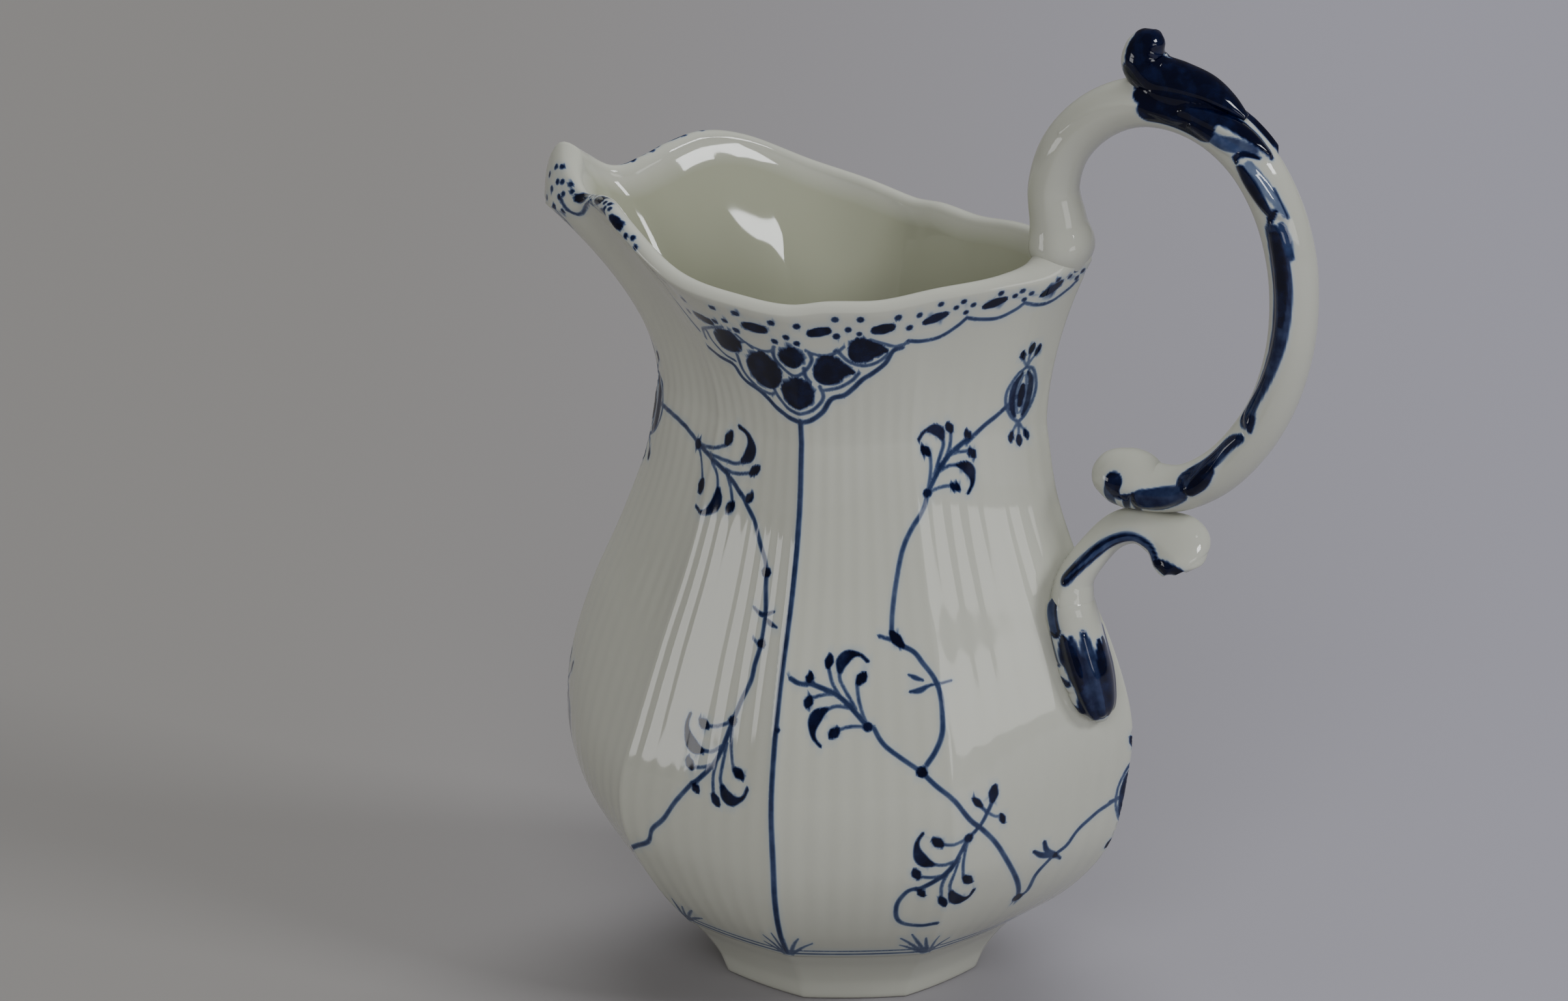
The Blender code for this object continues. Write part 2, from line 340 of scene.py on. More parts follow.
def sprig(x, y, end_x, end_y, flip=1):
    """The sprig, from its node to the end of its stem."""
    scale = math.hypot(end_x - x, end_y - y) / SPRIG_LENGTH
    turn = math.atan2(end_y - y, end_x - x)

    def place(u, w):
        return (x + scale * (u * math.cos(turn) - flip * w * math.sin(turn)),
                y + scale * (u * math.sin(turn) + flip * w * math.cos(turn)))

    size = scale ** 0.5
    line([place(*p) for p in SPRIG_STEM], 0.36, 0.72)
    for branch in SPRIG_BRANCHES:
        line([place(*p) for p in branch], 0.25, 0.6)
    for base, tip, radius in SPRIG_BUDS:
        bud(place(*base), place(*tip), radius * size)
    for hook in SPRIG_HOOKS:
        brush([(*place(u, w), radius * size) for u, w, radius in hook], 0.95)
    dot(x, y, 0.8 * size, 0.95)


def corner_x(angle, y):
    """Canvas distance of an angle at a canvas height, such as the corner toward the spout (-180)."""
    row = int(np.argmin(abs(GIRTH_HEIGHTS - y)))
    return float(np.interp(angle, GIRTH_ANGLES, GIRTH[row]))


# The flower, one side of it, in half widths and half heights from its middle.
FLOWER_HALF_WIDTH = 4.4  # the width at which the petals have the thickness given here
FLOWER_HEART = [(0, 0.3, 0.6), (0, -0.05, 1.1), (0, -0.4, 0.7)]
FLOWER_PETAL = [(0.2, 0.8, 0.4), (0.52, 0.45, 0.8), (0.6, 0.0, 0.95), (0.48, -0.5, 0.8), (0.25, -0.8, 0.4)]
FLOWER_OUTLINE = [(0, 1.0), (0.55, 0.8), (0.98, 0.25), (0.95, -0.25), (0.55, -0.75), (0.1, -1.0)]
FLOWER_VEIN = [(0.1, 0.7), (0.28, 0.2), (0.25, -0.3), (0.1, -0.7)]
FLOWER_STALK = [(0, 1.0), (0.2, 1.2), (0.4, 1.38)]


def flower(angle, y, half_width, half_height):
    """The open flower on the corner under the spout or the handle, with buds above and below it."""
    def place(u, w):
        return corner_x(angle, y + w * half_height) + u * half_width, y + w * half_height

    thin = half_width / FLOWER_HALF_WIDTH
    brush([(*place(u, w), radius * thin) for u, w, radius in FLOWER_HEART], 1.0, ONCE)
    for side in (-1, 1):
        brush([(*place(side * u, w), radius * thin) for u, w, radius in FLOWER_PETAL], 0.88, ONCE)
        line([place(side * u, w) for u, w in FLOWER_OUTLINE], 0.26, 0.6, ONCE)
        line([place(side * u, w) for u, w in FLOWER_VEIN], 0.2, 0.5, ONCE)
        for up in (1, -1):
            line([place(side * u, up * w) for u, w in FLOWER_STALK], 0.22, 0.55, ONCE)
            bud(place(side * 0.44, up * 1.4), place(side * 0.6, up * 1.66), 0.5, 1.0, ONCE)
    for up in (1, -1):
        line([place(0, up), place(0, up * 1.55)], 0.22, 0.55, ONCE)
        bud(place(0, up * 1.55), place(0, up * 1.85), 0.55, 1.0, ONCE)


SCALE_SPREAD = 1.1  # how much wider the dark scales are than their table says


def drop(top, middle, bottom, width):
    """One dark scale of the motif under the rim."""
    width *= SCALE_SPREAD
    shoulder = ((top[0] + middle[0]) / 2, (top[1] + middle[1]) / 2)
    brush([(*top, width * 0.25), (*shoulder, width * 0.68), (*middle, width), (*bottom, width * 0.8)])


SCALE_ARCS = [
    [(-4.0, 99.0), (-3.9, 96.5), (-2.2, 94.2), (-0.2, 93.5), (2.0, 94.3), (3.6, 96.4), (3.3, 98.6)],
    [(-9.6, 101.4), (-9.2, 98.4), (-7.4, 96.4), (-5.0, 95.7), (-4.0, 96.2)],
    [(2.0, 99.4), (1.4, 100.6), (1.3, 102.2)],
    [(3.8, 97.8), (6.0, 98.3), (8.0, 99.6), (9.2, 101.0)],
    [(-14.6, 103.4), (-14.2, 101.6), (-12.4, 100.2), (-10.4, 99.8)],
    [(-2.8, 105.6), (-3.0, 103.4), (-1.6, 101.4), (-0.2, 100.6), (1.4, 101.6), (2.6, 103.6), (2.4, 105.2)],
    [(6.6, 105.0), (8.0, 103.2), (10.0, 102.4), (12.2, 103.0), (14.0, 104.4)],
    [(-8.4, 104.4), (-7.4, 104.8), (-6.4, 104.0)],
    [(7.2, 104.2), (6.4, 105.4), (6.0, 104.6)],
]
SCALE_EDGE = [(-16.0, 99.0), (-13.6, 98.8), (-11.0, 98.8), (-9.6, 96.8), (-6.4, 95.4), (-4.2, 93.6),
              (-2.0, 92.4), (0, 92.0), (1.6, 92.4), (3.4, 93.9), (4.8, 96.2), (7.0, 97.1), (9.6, 99.8),
              (11.0, 100.8), (13.2, 102.6), (14.6, 104.7), (16.0, 105.1)]


def scale_motif():
    """The V of dark scales that hangs over the upright line."""
    drop((0.0, 99.6), (-0.2, 97.2), (-0.3, 96.6), 2.35)
    drop((-5.0, 103.3), (-5.2, 100.2), (-5.2, 99.0), 2.65)
    drop((4.4, 103.8), (5.0, 101.5), (4.6, 100.9), 2.25)
    brush([(5.0, 101.6, 1.9), (7.0, 101.5, 1.1), (8.3, 101.2, 0.4)])
    drop((-9.8, 105.7), (-10.6, 103.7), (-11.0, 103.2), 2.2)
    drop((0.0, 105.7), (-0.3, 104.2), (-0.4, 103.7), 1.75)
    drop((9.8, 107.2), (10.2, 105.2), (9.8, 104.8), 1.95)
    brush([(10.2, 105.4, 1.8), (12.2, 105.3, 1.2), (13.6, 105.0, 0.4)])
    for arc in SCALE_ARCS:
        line(arc, 0.27, 0.6)
    line(SCALE_EDGE, 0.36, 0.72)


# The lace border, from its scalloped lower line up to the rim: heights on the canvas as (x, y).
BORDER = [(-62, 112.9), (-46, 112.8), (-37, 112.6), (-31, 111.8), (-25, 109.2), (-20, 104.4),
          (-16, 100.6), (16, 105.4), (27, 108.0), (36, 109.0), (44, 109.2), (56, 109.2)]
BORDER_TOP = [(-62, 116.4), (-40, 116.4), (-30, 116.3), (-25, 115.6), (-20, 114.0), (-15, TOP), (60, TOP)]
BORDER_START = 17.0  # where the first scallop begins, on both sides of the upright line
BORDER_PITCH = 9.2  # the width of a scallop
BORDER_CELLS = {-1: 4, 1: 3}  # how many scallops there are toward the spout and toward the handle
# The dots over each point between two scallops: distance across, share of the border's height, radius.
CUSP_DOTS = [(0.0, 0.36, 0.4), (-1.3, 0.62, 0.42), (1.3, 0.62, 0.42), (0.0, 0.82, 0.45), (-3.4, 0.88, 0.45)]
# Over the scales: ovals as (x, y, width), dots as (x, y, radius), and arcs.
BORDER_OVALS = [(-5.1, 108.8, 1.1), (4.4, 109.0, 0.9), (13.8, 109.2, 0.92), (-14.0, 106.4, 1.0)]
BORDER_DOTS = [(-11.2, 110.6, 0.5), (-7.6, 110.9, 0.62), (-2.3, 110.8, 0.55), (1.4, 110.5, 0.55),
               (7.1, 111.3, 0.55), (10.8, 111.3, 0.55), (-9.8, 108.3, 0.48), (-8.3, 106.9, 0.55),
               (-11.7, 107.2, 0.5), (-0.5, 108.2, 0.5), (-2.4, 106.9, 0.5), (0.9, 107.1, 0.48),
               (6.8, 108.0, 0.55), (8.7, 109.3, 0.5), (10.2, 108.5, 0.4), (16.3, 111.0, 0.55),
               (17.6, 108.6, 0.5), (-16.8, 108.6, 0.5), (-17.4, 105.2, 0.45), (19.4, 110.6, 0.45)]
BORDER_ARCS = [
    [(-8.6, 105.9), (-7.2, 104.7), (-5.0, 104.1), (-3.4, 104.6), (-2.6, 105.8)],
    [(2.0, 105.6), (3.0, 104.8), (4.6, 104.4), (6.4, 104.9), (7.6, 106.0)],
    [(-15.8, 100.8), (-15.4, 103.0), (-12.6, 105.4), (-10.6, 106.6)],
    [(11.6, 107.4), (13.4, 106.4), (15.0, 105.6), (17.0, 105.8)],
]


def lace_border():
    """Ovals and dots between the rim and a scalloped line."""
    for side, cells in BORDER_CELLS.items():
        for cell in range(cells):
            start = side * (BORDER_START + BORDER_PITCH * cell)
            end = start + side * BORDER_PITCH
            points = []
            for share in (0.0, 0.2, 0.5, 0.8, 1.0):
                x = start + (end - start) * share
                sag = 1.6 * math.sin(math.pi * share)
                points.append((x, float(smooth(BORDER, x)) + 0.6 - sag))
            line(points, 0.3, 0.66)
            middle = (start + end) / 2
            base = float(smooth(BORDER, middle))
            rise = (float(smooth(BORDER_TOP, middle)) - base) * 0.48
            tilt = 0.35 if side > 0 else 0.2
            brush([(middle - 1.5, base + rise - tilt, 0.55), (middle, base + rise, 0.85),
                   (middle + 1.5, base + rise + tilt, 0.55)])
            cusp = float(smooth(BORDER, end))
            room = float(smooth(BORDER_TOP, end)) - cusp
            for across, up, radius in CUSP_DOTS:
                dot(end + across, cusp + room * up, radius, 0.85)
    for x, y, width in BORDER_OVALS:
        brush([(x - 1.1, y - 0.1, width * 0.8), (x, y, width), (x + 1.1, y + 0.1, width * 0.8)])
    for x, y, radius in BORDER_DOTS:
        dot(x, y, radius, 0.85)
    for arc in BORDER_ARCS:
        line(arc, 0.25, 0.55)


# Distance from the spout's middle, canvas height and radius.
SPOUT_DOTS = [(3.6, 115.2, 0.4), (5.6, 114.6, 0.42), (2.8, 114.2, 0.42), (4.8, 113.7, 0.45),
              (7.0, 113.6, 0.42), (3.4, 112.9, 0.42), (6.0, 112.6, 0.5), (8.2, 112.4, 0.42)]


def spout_dots():
    """The little spray of dots on the rolled tip of the spout."""
    base = corner_x(-180.0, TOP)
    for across, y, radius in SPOUT_DOTS:
        dot(base + across, y, radius, 0.85)
    line([(base + 9.2, 109.6), (base + 7.6, 111.2), (base + 5.0, 111.6), (base + 2.6, 111.2)], 0.28)
    bud((base + 7.4, 110.6), (base + 5.4, 110.6), 0.5)
    bud((base + 3.4, 112.0), (base + 1.6, 112.2), 0.45)


GRASS_ROOT = 9.9
GRASS_BLADES = [(-58, 3.4), (-38, 4.4), (-16, 4.6), (6, 3.6), (30, 4.4), (54, 4.6)]  # tilt and length


def fan(x, lean):
    """Blades of grass at a corner of the foot."""
    for tilt, length in GRASS_BLADES:
        turn = math.radians(tilt + lean)
        base_x = x + 0.9 * math.sin(turn)
        middle = (base_x + 0.55 * length * math.sin(turn), GRASS_ROOT + 0.6 * length * math.cos(turn))
        tip = (base_x + length * math.sin(turn), GRASS_ROOT + length * math.cos(turn) * 0.95)
        brush([(base_x, GRASS_ROOT, 0.3), (*middle, 0.24), (*tip, 0.1)], 0.55)


def paint_front():
    """One side's painting; the other side repeats it."""
    line([(0, 92.2), (0.15, 80), (0.1, 66), (-0.2, 50), (-0.1, 38), (0.5, 26), (0.1, 14), (0, 10.2)],
         0.38, 0.72)
    dot(0, 47, 0.45, 0.8)
    scale_motif()
    lace_border()
    spout_dots()

    # Between the spout and the upright line.
    flower(-180.0, 84.0, 4.6, 5.0)
    line([(-36.6, 84.9), (-30.5, 84.9), (-26.0, 84.4), (-22.0, 83.1)])
    sprig(-21.8, 82.9, -9.4, 77.2)
    line([(-9.4, 77.2), (-7.6, 75.0), (-6.2, 72.0), (-4.9, 69.4), (-4.5, 66.0), (-4.1, 62.5), (-4.2, 58.4)])
    dot(-4.7, 68.4, 0.8)
    dot(-4.2, 58.4, 0.75)
    brush([(-6.3, 63.1, 0.15), (-4.5, 62.4, 0.36), (-2.6, 63.2, 0.15)], 0.75)
    brush([(-4.0, 61.9, 0.25), (-2.9, 61.4, 0.36), (-1.9, 61.1, 0.15)], 0.75)
    line([(-5.7, 58.9), (-4.6, 58.2)], 0.25, 0.5)
    line([(-4.2, 58.4), (-4.9, 55.5), (-5.3, 53), (-6.6, 50), (-7.8, 46.8)])
    sprig(-7.8, 46.8, -14.0, 36.5)
    line([(-14.0, 36.5), (-16.6, 33.4), (-19.0, 30), (-21.4, 27.6), (-22.6, 25.2), (-26.0, 23.2),
          (-30.0, 20.6)], 0.34)
    flower(-180.0, 31.0, 5.6, 6.5)

    # Between the upright line and the handle.
    flower(HANDLE_TURN, 93.6, 2.5, 4.2)
    line([(33.0, 93.4), (30.2, 91.3), (27.4, 89.4), (24.8, 87.2)])
    sprig(19.0, 80.5, 25.6, 88.0)
    line([(19.0, 80.2), (18.5, 78.4), (16.8, 75.6), (15.7, 72.6), (15.2, 68), (15.1, 64), (15.3, 61.2)],
         0.33, 0.6)
    brush([(15.4, 61.0, 0.45), (16.1, 60.2, 0.8), (17.0, 59.3, 0.5)])
    line([(13.6, 60.6), (15.4, 60.1)], 0.3)
    line([(17.0, 59.3), (19.0, 58.3), (20.5, 56.7), (22.3, 54.7), (23.5, 52.4), (24.1, 49.6), (24.3, 46.8),
          (23.6, 44.4), (22.4, 42.4)], 0.36)
    brush([(18.5, 55.2, 0.15), (19.5, 54.8, 0.36), (20.7, 54.4, 0.2)], 0.7)
    brush([(19.0, 52.8, 0.2), (20.4, 53.0, 0.42), (22.0, 53.7, 0.2), (25.2, 54.0, 0.15)], 0.7)
    dot(21.8, 41.4, 0.85)
    line([(21.8, 41.4), (19.6, 42.8), (16.6, 44.8), (15.2, 46.2), (14.2, 47.7)], 0.34)
    sprig(13.3, 47.9, 3.6, 53.8, flip=-1)
    line([(3.8, 53.6), (2.4, 53.8), (1.2, 54.4)], 0.34, 0.7)
    line([(21.8, 41.4), (24, 39.4), (27, 37), (30, 33.5), (32, 31.8), (34.5, 29), (36.4, 25.8), (38, 22.2),
          (38.5, 19.6), (38.3, 17.6)], 0.36)
    dot(38.3, 17.6, 0.9)
    sprig(29.7, 30.8, 21.5, 23.0)
    line([(29.7, 30.8), (31.8, 32.6), (32.8, 34.2), (33.5, 35.8)], 0.3)
    line([(32.8, 34.2), (31.6, 35.4)], 0.25, 0.6)
    line([(32.8, 34.2), (34.2, 33.4), (35.2, 33.2)], 0.22, 0.55)
    bud((33.5, 36.0), (33.7, 37.9), 0.82)
    bud((31.7, 35.4), (30.3, 36.7), 0.55)
    bud((35.2, 33.4), (35.7, 32.2), 0.55)
    line([(21.5, 23.2), (20.0, 22.6), (18.4, 20.4), (18.0, 17.8), (19.0, 16.5), (21.4, 16.0), (23.8, 16.3)],
         0.32, 0.62)
    line([(38.3, 17.6), (40.1, 18.6), (41.6, 21.5), (43.5, 23.4), (45.1, 24.5), (47.2, 25.6), (49.4, 27.8),
          (53.0, 29.8), (57.5, 31.0), (61.5, 30.8)], 0.33, 0.62)
    brush([(45.2, 24.6, 0.35), (43.6, 25.7, 0.42), (43.1, 27.3, 0.3)], 0.75)
    brush([(45.4, 24.4, 0.35), (42.8, 25.0, 0.45), (41.2, 26.1, 0.25)], 0.75)
    dot(45.2, 24.4, 0.5)
    brush([(45.2, 24.4, 0.4), (46.2, 23.5, 0.2)], 0.75)
    flower(2.0, 31.6, 3.4, 5.4)


FOOT_LINE = 10.0


def paint_foot_line():
    """Two fine lines round the bottom, with grass at the corners."""
    corners = [corner_x(angle, FOOT_LINE) for angle in (-180, -135, -90, -45, 0)]
    for index, x in enumerate(corners[:-1]):
        fan(x, 6 * (index % 2))
    for y, radius in ((FOOT_LINE, 0.17), (10.7, 0.13)):
        line([(corners[0] + (corners[-1] - corners[0]) * i / 16, y) for i in range(17)], radius, 0.6)


STROKE_PITCH = 0.3


def canvas_strokes():
    """Every stroke on both sides, as (angle, canvas y, radius) rows with a tone."""
    paint_front()
    paint_foot_line()
    strokes = []
    for (points, tone), sides in [(s, (1.0, -1.0)) for s in CANVAS] + [(s, (1.0,)) for s in ONCE]:
        path = curve_through(points, STROKE_PITCH)
        angles = np.array([canvas_angle(x, y) for x, y in path[:, :2]])
        for side in sides:
            turn = np.mod(side * angles - SEAM, 360.0) + SEAM - 360.0
            if turn.max() - turn.min() > 180:
                turn = np.where(turn < SEAM - 180, turn + 360, turn)
            strokes.append((np.column_stack([turn, path[:, 1], path[:, 2]]), tone))
    return strokes


def surface_scale(angle, y):
    """Millimetres for a degree and for a unit of canvas height."""
    small = 0.5
    here = body_surface(angle, y)
    across = np.linalg.norm(body_surface(angle + small, y) - here, axis=-1) / small
    upward = np.linalg.norm(body_surface(angle, np.minimum(y + small, CREST)) - here, axis=-1) / small
    return across, np.maximum(upward, 0.5)


# A stroke's soft edge runs from just inside its outline to just outside it, where the mesh has its points.
EDGE_INSIDE = 0.14
EDGE_OUTSIDE = 0.16
DOT_LENGTH = 0.1  # a shorter stroke is a dot
DOT_POINTS = 8
WIDE = 0.7  # strokes of a larger radius get more points across
END_SWING = 1.4  # radians each way that the points go round a stroke's end


def refining_points(strokes):
    """Points along both edges and the middle of every stroke, so that the mesh follows the brushwork."""
    spots = []
    for path, _ in strokes:
        angle, y, radius = path[:, 0], path[:, 1], path[:, 2]
        across, upward = surface_scale(angle, y)
        step_x = np.gradient(angle) * across
        step_y = np.gradient(y) * upward
        length = np.maximum(np.hypot(step_x, step_y), 1e-6)
        side_x, side_y = -step_y / length, step_x / length
        if np.hypot(step_x, step_y).sum() < DOT_LENGTH:
            for turn in np.arange(DOT_POINTS) * math.tau / DOT_POINTS:
                for reach in (radius[0] - EDGE_INSIDE, radius[0] + EDGE_OUTSIDE):
                    spots.append([(angle[0] + reach * math.cos(turn) / across[0],
                                   y[0] + reach * math.sin(turn) / upward[0])])
            continue
        inner = np.maximum(radius - EDGE_INSIDE, 0.08)
        outer = radius + EDGE_OUTSIDE
        reaches = [0.0 * radius, -inner, inner, -outer, outer]
        if radius.max() > WIDE:
            reaches += [-0.5 * radius, 0.5 * radius]
        for reach in reaches:
            spots.append(np.column_stack([angle + side_x * reach / across, y + side_y * reach / upward]))
        for end, sign in ((0, -1), (-1, 1)):
            ahead_x = sign * step_x[end] / length[end]
            ahead_y = sign * step_y[end] / length[end]
            count = max(3, int(math.pi * radius[end] / 0.4))
            for reach in (radius[end] - 0.12, radius[end] + EDGE_OUTSIDE):
                for swing in np.linspace(-END_SWING, END_SWING, count):
                    turned_x = ahead_x * math.cos(swing) - ahead_y * math.sin(swing)
                    turned_y = ahead_x * math.sin(swing) + ahead_y * math.cos(swing)
                    spots.append([(angle[end] + turned_x * reach / across[end],
                                   y[end] + turned_y * reach / upward[end])])
    spots = np.vstack([np.asarray(s, float) for s in spots])
    inside = ((spots[:, 1] > BODY_BOTTOM + 0.2) & (spots[:, 1] < CREST - 0.2)
              & (spots[:, 0] > SEAM - 360.0 + SEAM_GAP) & (spots[:, 0] < SEAM - SEAM_GAP))
    return spots[inside]


def lattice_angles(y):
    """The angles of the mesh columns at a canvas height: they follow the flutes."""
    toward_x, diagonal, toward_y = (float(r) for r in corner_radii(min(y, NECK)))
    radii = [toward_x, diagonal, toward_y, diagonal] * 2
    angles = []
    first = int(SEAM // FACET) - 8
    for facet in range(first, first + 8):
        count = FLUTES[facet % 8] * COLUMNS_PER_FLUTE
        start, end = radii[facet % 8], radii[(facet + 1) % 8]
        for i in range(count):
            share = i / count
            along = start * (1 - share) + end * share * math.cos(math.radians(FACET))
            aside = end * share * math.sin(math.radians(FACET))
            angles.append(FACET * facet + math.degrees(math.atan2(aside, along)))
    angles.append(SEAM)
    return np.array(angles)


# Cobalt fades out across a stroke's outline, and a faint halo lies round it.
FADE_START = -0.16
FADE_END = 0.2
HALO_REACH = 0.75
HALO_TONE = 0.16
STROKE_REACH = 0.8  # farther out a stroke leaves no cobalt


def coverage(points, strokes, place):
    """How much cobalt lies at each point: the darkest stroke over it, with a faint halo in the glaze."""
    value = np.zeros(len(points))
    for path, tone in strokes:
        closest = distance_to(points, place(path), path[:, -1], STROKE_REACH)
        strength = tone * (1 - step(FADE_START, FADE_END, closest))
        halo = HALO_TONE * tone * (1 - step(0.0, HALO_REACH, closest))
        value = np.maximum(value, np.maximum(strength, halo))
    return value


def thinned(points, cell, scale):
    """Drop points that share a small cell with an earlier one."""
    keys = np.floor(points * scale / cell).astype(np.int64)
    flat = keys[:, 0] * 1000003 + keys[:, 1]
    first = np.unique(flat, return_index=True)[1]
    return points[np.sort(first)]


def border(verts, column, value):
    """The vertices on one edge of the canvas, in order along it."""
    found = np.nonzero(np.abs(verts[:, column] - value) < ON_EDGE)[0]
    return found[np.argsort(verts[found, 1 - column])]


def canvas_mesh(strokes):
    """The canvas cut into triangles along the flutes and the brushwork, as (angle, canvas y) and faces."""
    rows = int((TOP - BODY_BOTTOM) / ROW_PITCH)
    heights = np.concatenate([np.linspace(BODY_BOTTOM, TOP, rows + 1),
                              TOP + LIP_SPAN * np.arange(1, LIP_ROWS + 1) / LIP_ROWS])
    rows += LIP_ROWS
    columns = len(lattice_angles(BODY_BOTTOM))
    edge = []
    lattice = []
    for index, y in enumerate(heights):
        angles = lattice_angles(y)
        row = np.column_stack([angles, np.full(columns, y)])
        if index in (0, rows):
            edge.append(row)
        else:
            lattice.append(row[1:-1])
    seam_heights = np.linspace(BODY_BOTTOM, CREST, 4 * rows + 1)[1:-1]
    for angle in (SEAM - 360.0, SEAM):
        edge.append(np.column_stack([np.full(len(seam_heights), angle), seam_heights]))
    edge = np.vstack(edge)
    scale = np.array([CANVAS_SCALE, 1.0])
    middle = thinned(np.vstack([refining_points(strokes), np.vstack(lattice)]), CELL, scale)
    domain = np.vstack([edge, middle])
    flat = [Vector(p) for p in (domain * scale).tolist()]
    made = geometry.delaunay_2d_cdt(flat, [], [], 0, MERGE)
    verts = np.array([tuple(v) for v in made[0]]) / scale

    # Weld the seam: a vertex on the right edge becomes its twin on the left edge.
    weld = np.arange(len(verts))
    weld[border(verts, 0, SEAM)] = border(verts, 0, SEAM - 360.0)
    return verts, weld[np.array(made[2])]


def closing_rings(angles):
    """The rings that close the skin: over the lip, down the inside and in over the floor."""
    rings = [lip_ring(angles, math.pi / 2 * (1 + index / LIP_STEPS)) for index in range(1, LIP_STEPS + 1)]
    rings += [inner_ring(angles, index / INNER_ROWS) for index in range(INNER_ROWS - 1, -1, -1)]
    floor_ring = rings[-1]
    for share in FLOOR_SHARES:
        flat_ring = floor_ring * share
        flat_ring[:, 2] = floor_ring[:, 2] - FLOOR_DISH * (1 - share) ** 0.5
        rings.append(flat_ring)
    return rings


def make_body_mesh(name):
    """The painted outside, the lip and the inside, as one closed skin."""
    strokes = canvas_strokes()
    verts, faces = canvas_mesh(strokes)
    outside = body_surface(verts[:, 0], verts[:, 1])
    top_ring = border(verts, 1, CREST)[:-1]
    bottom_ring = border(verts, 1, BODY_BOTTOM)[:-1]
    rings = closing_rings(verts[top_ring, 0])
    points = [outside]
    triangles = [faces]
    total = len(outside)
    previous = top_ring
    for ring in rings:
        fresh = np.arange(total, total + len(ring))
        triangles.append(band(previous, fresh))
        points.append(ring)
        total += len(ring)
        previous = fresh
    for ring, height in ((previous, rings[-1][0, 2]), (bottom_ring[::-1], BODY_BOTTOM)):
        triangles.append(fan_faces(ring, total))
        points.append(np.array([[0, 0, height]]))
        total += 1
    mesh = mesh_from(name, np.vstack(points), np.vstack(triangles))

    # The outside is shaded with its true normals, except along the rings where it meets the rest.
    shading = np.empty((total, 3))
    mesh.vertices.foreach_get("normal", shading.reshape(-1))
    free = np.ones(len(outside), bool)
    free[top_ring] = False
    free[bottom_ring] = False
    shading[:len(outside)][free] = surface_normals(verts[:, 0], verts[:, 1])[free]
    mesh.normals_split_custom_set_from_vertices(shading.tolist())
    cobalt = np.zeros(total)
    cobalt[:len(outside)] = coverage(outside, strokes, lambda path: body_surface(path[:, 0], path[:, 1]))
    store(mesh, "cobalt", cobalt)
    # Marks the inside of the jug, where the glaze is painted darker and greener as painted shade.
    inside_shade_mask = np.zeros(total)
    inside_shade_mask[len(outside) + LIP_STEPS * len(top_ring):] = 1.0
    store(mesh, "inside", inside_shade_mask)
    return mesh


def band(lower, upper):
    """Triangles between two rings of equal length."""
    following = np.roll(np.arange(len(lower)), -1)
    first = np.column_stack([lower, lower[following], upper[following]])
    second = np.column_stack([lower, upper[following], upper])
    return np.vstack([first, second])


def fan_faces(ring, centre):
    """Triangles from a ring to its middle point."""
    return np.column_stack([ring, np.roll(ring, -1), np.full(len(ring), centre)])


def lip_ring(angles, turn):
    """A ring on the lip's round inner half: turn goes from 90 degrees at its crest to 180 at its edge."""
    middle, top = rim(angles)
    half = lip_thickness(angles) / 2
    return ring_point(middle + half * math.cos(turn), angles, top - half + half * math.sin(turn))


def inner_ring(angles, share):
    """The inside runs parallel to the outside; share goes from 0 at the floor to 1 at the lip."""
    height = np.full(len(angles), min(BODY_BOTTOM + (NECK - BODY_BOTTOM) * share / INNER_NECK, NECK))
    radius = section(angles, height)[0]
    middle, top = rim(angles)
    rise = max(0.0, (share - INNER_NECK) / INNER_FLARE)
    edge = lip_thickness(angles)
    radius = radius + (middle + edge / 2 - radius) * rise ** FLARE_POWER
    height = height + (top - edge / 2 - NECK) * rise
    thickening = max(0.0, (share - INNER_LIP) / INNER_LIP_SPAN) ** 2
    radius = radius - WALL - (edge - WALL) * thickening
    height = height + FLOOR * max(0.0, 1 - share / INNER_NECK)
    return ring_point(radius, angles, height)


def mesh_from(name, points, triangles):
    """A smooth-shaded mesh in metres, at the jug's place in the frame."""
    mesh = bpy.data.meshes.new(name)
    placed = (points + np.array([AXIS_X / MM, 0, 0])) * MM
    mesh.from_pydata(placed.tolist(), [], triangles.tolist())
    mesh.validate()
    work = bmesh.new()
    work.from_mesh(mesh)
    bmesh.ops.recalc_face_normals(work, faces=work.faces)
    work.to_mesh(mesh)
    work.free()
    mesh.shade_smooth()
    return mesh


def store(mesh, label, values):
    """Keep a value for each vertex, which the glaze material reads by its label."""
    layer = mesh.attributes.new(label, "FLOAT", "POINT")
    layer.data.foreach_set("value", np.asarray(values, np.float32))


def add_piece(name, mesh, material, nodes):
    """Put a mesh in the scene as the piece that stands for some CAD nodes."""
    piece = bpy.data.objects.new(name, mesh)
    bpy.context.collection.objects.link(piece)
    mesh.materials.append(material)
    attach(piece, "root")
    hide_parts(*nodes)
    return piece


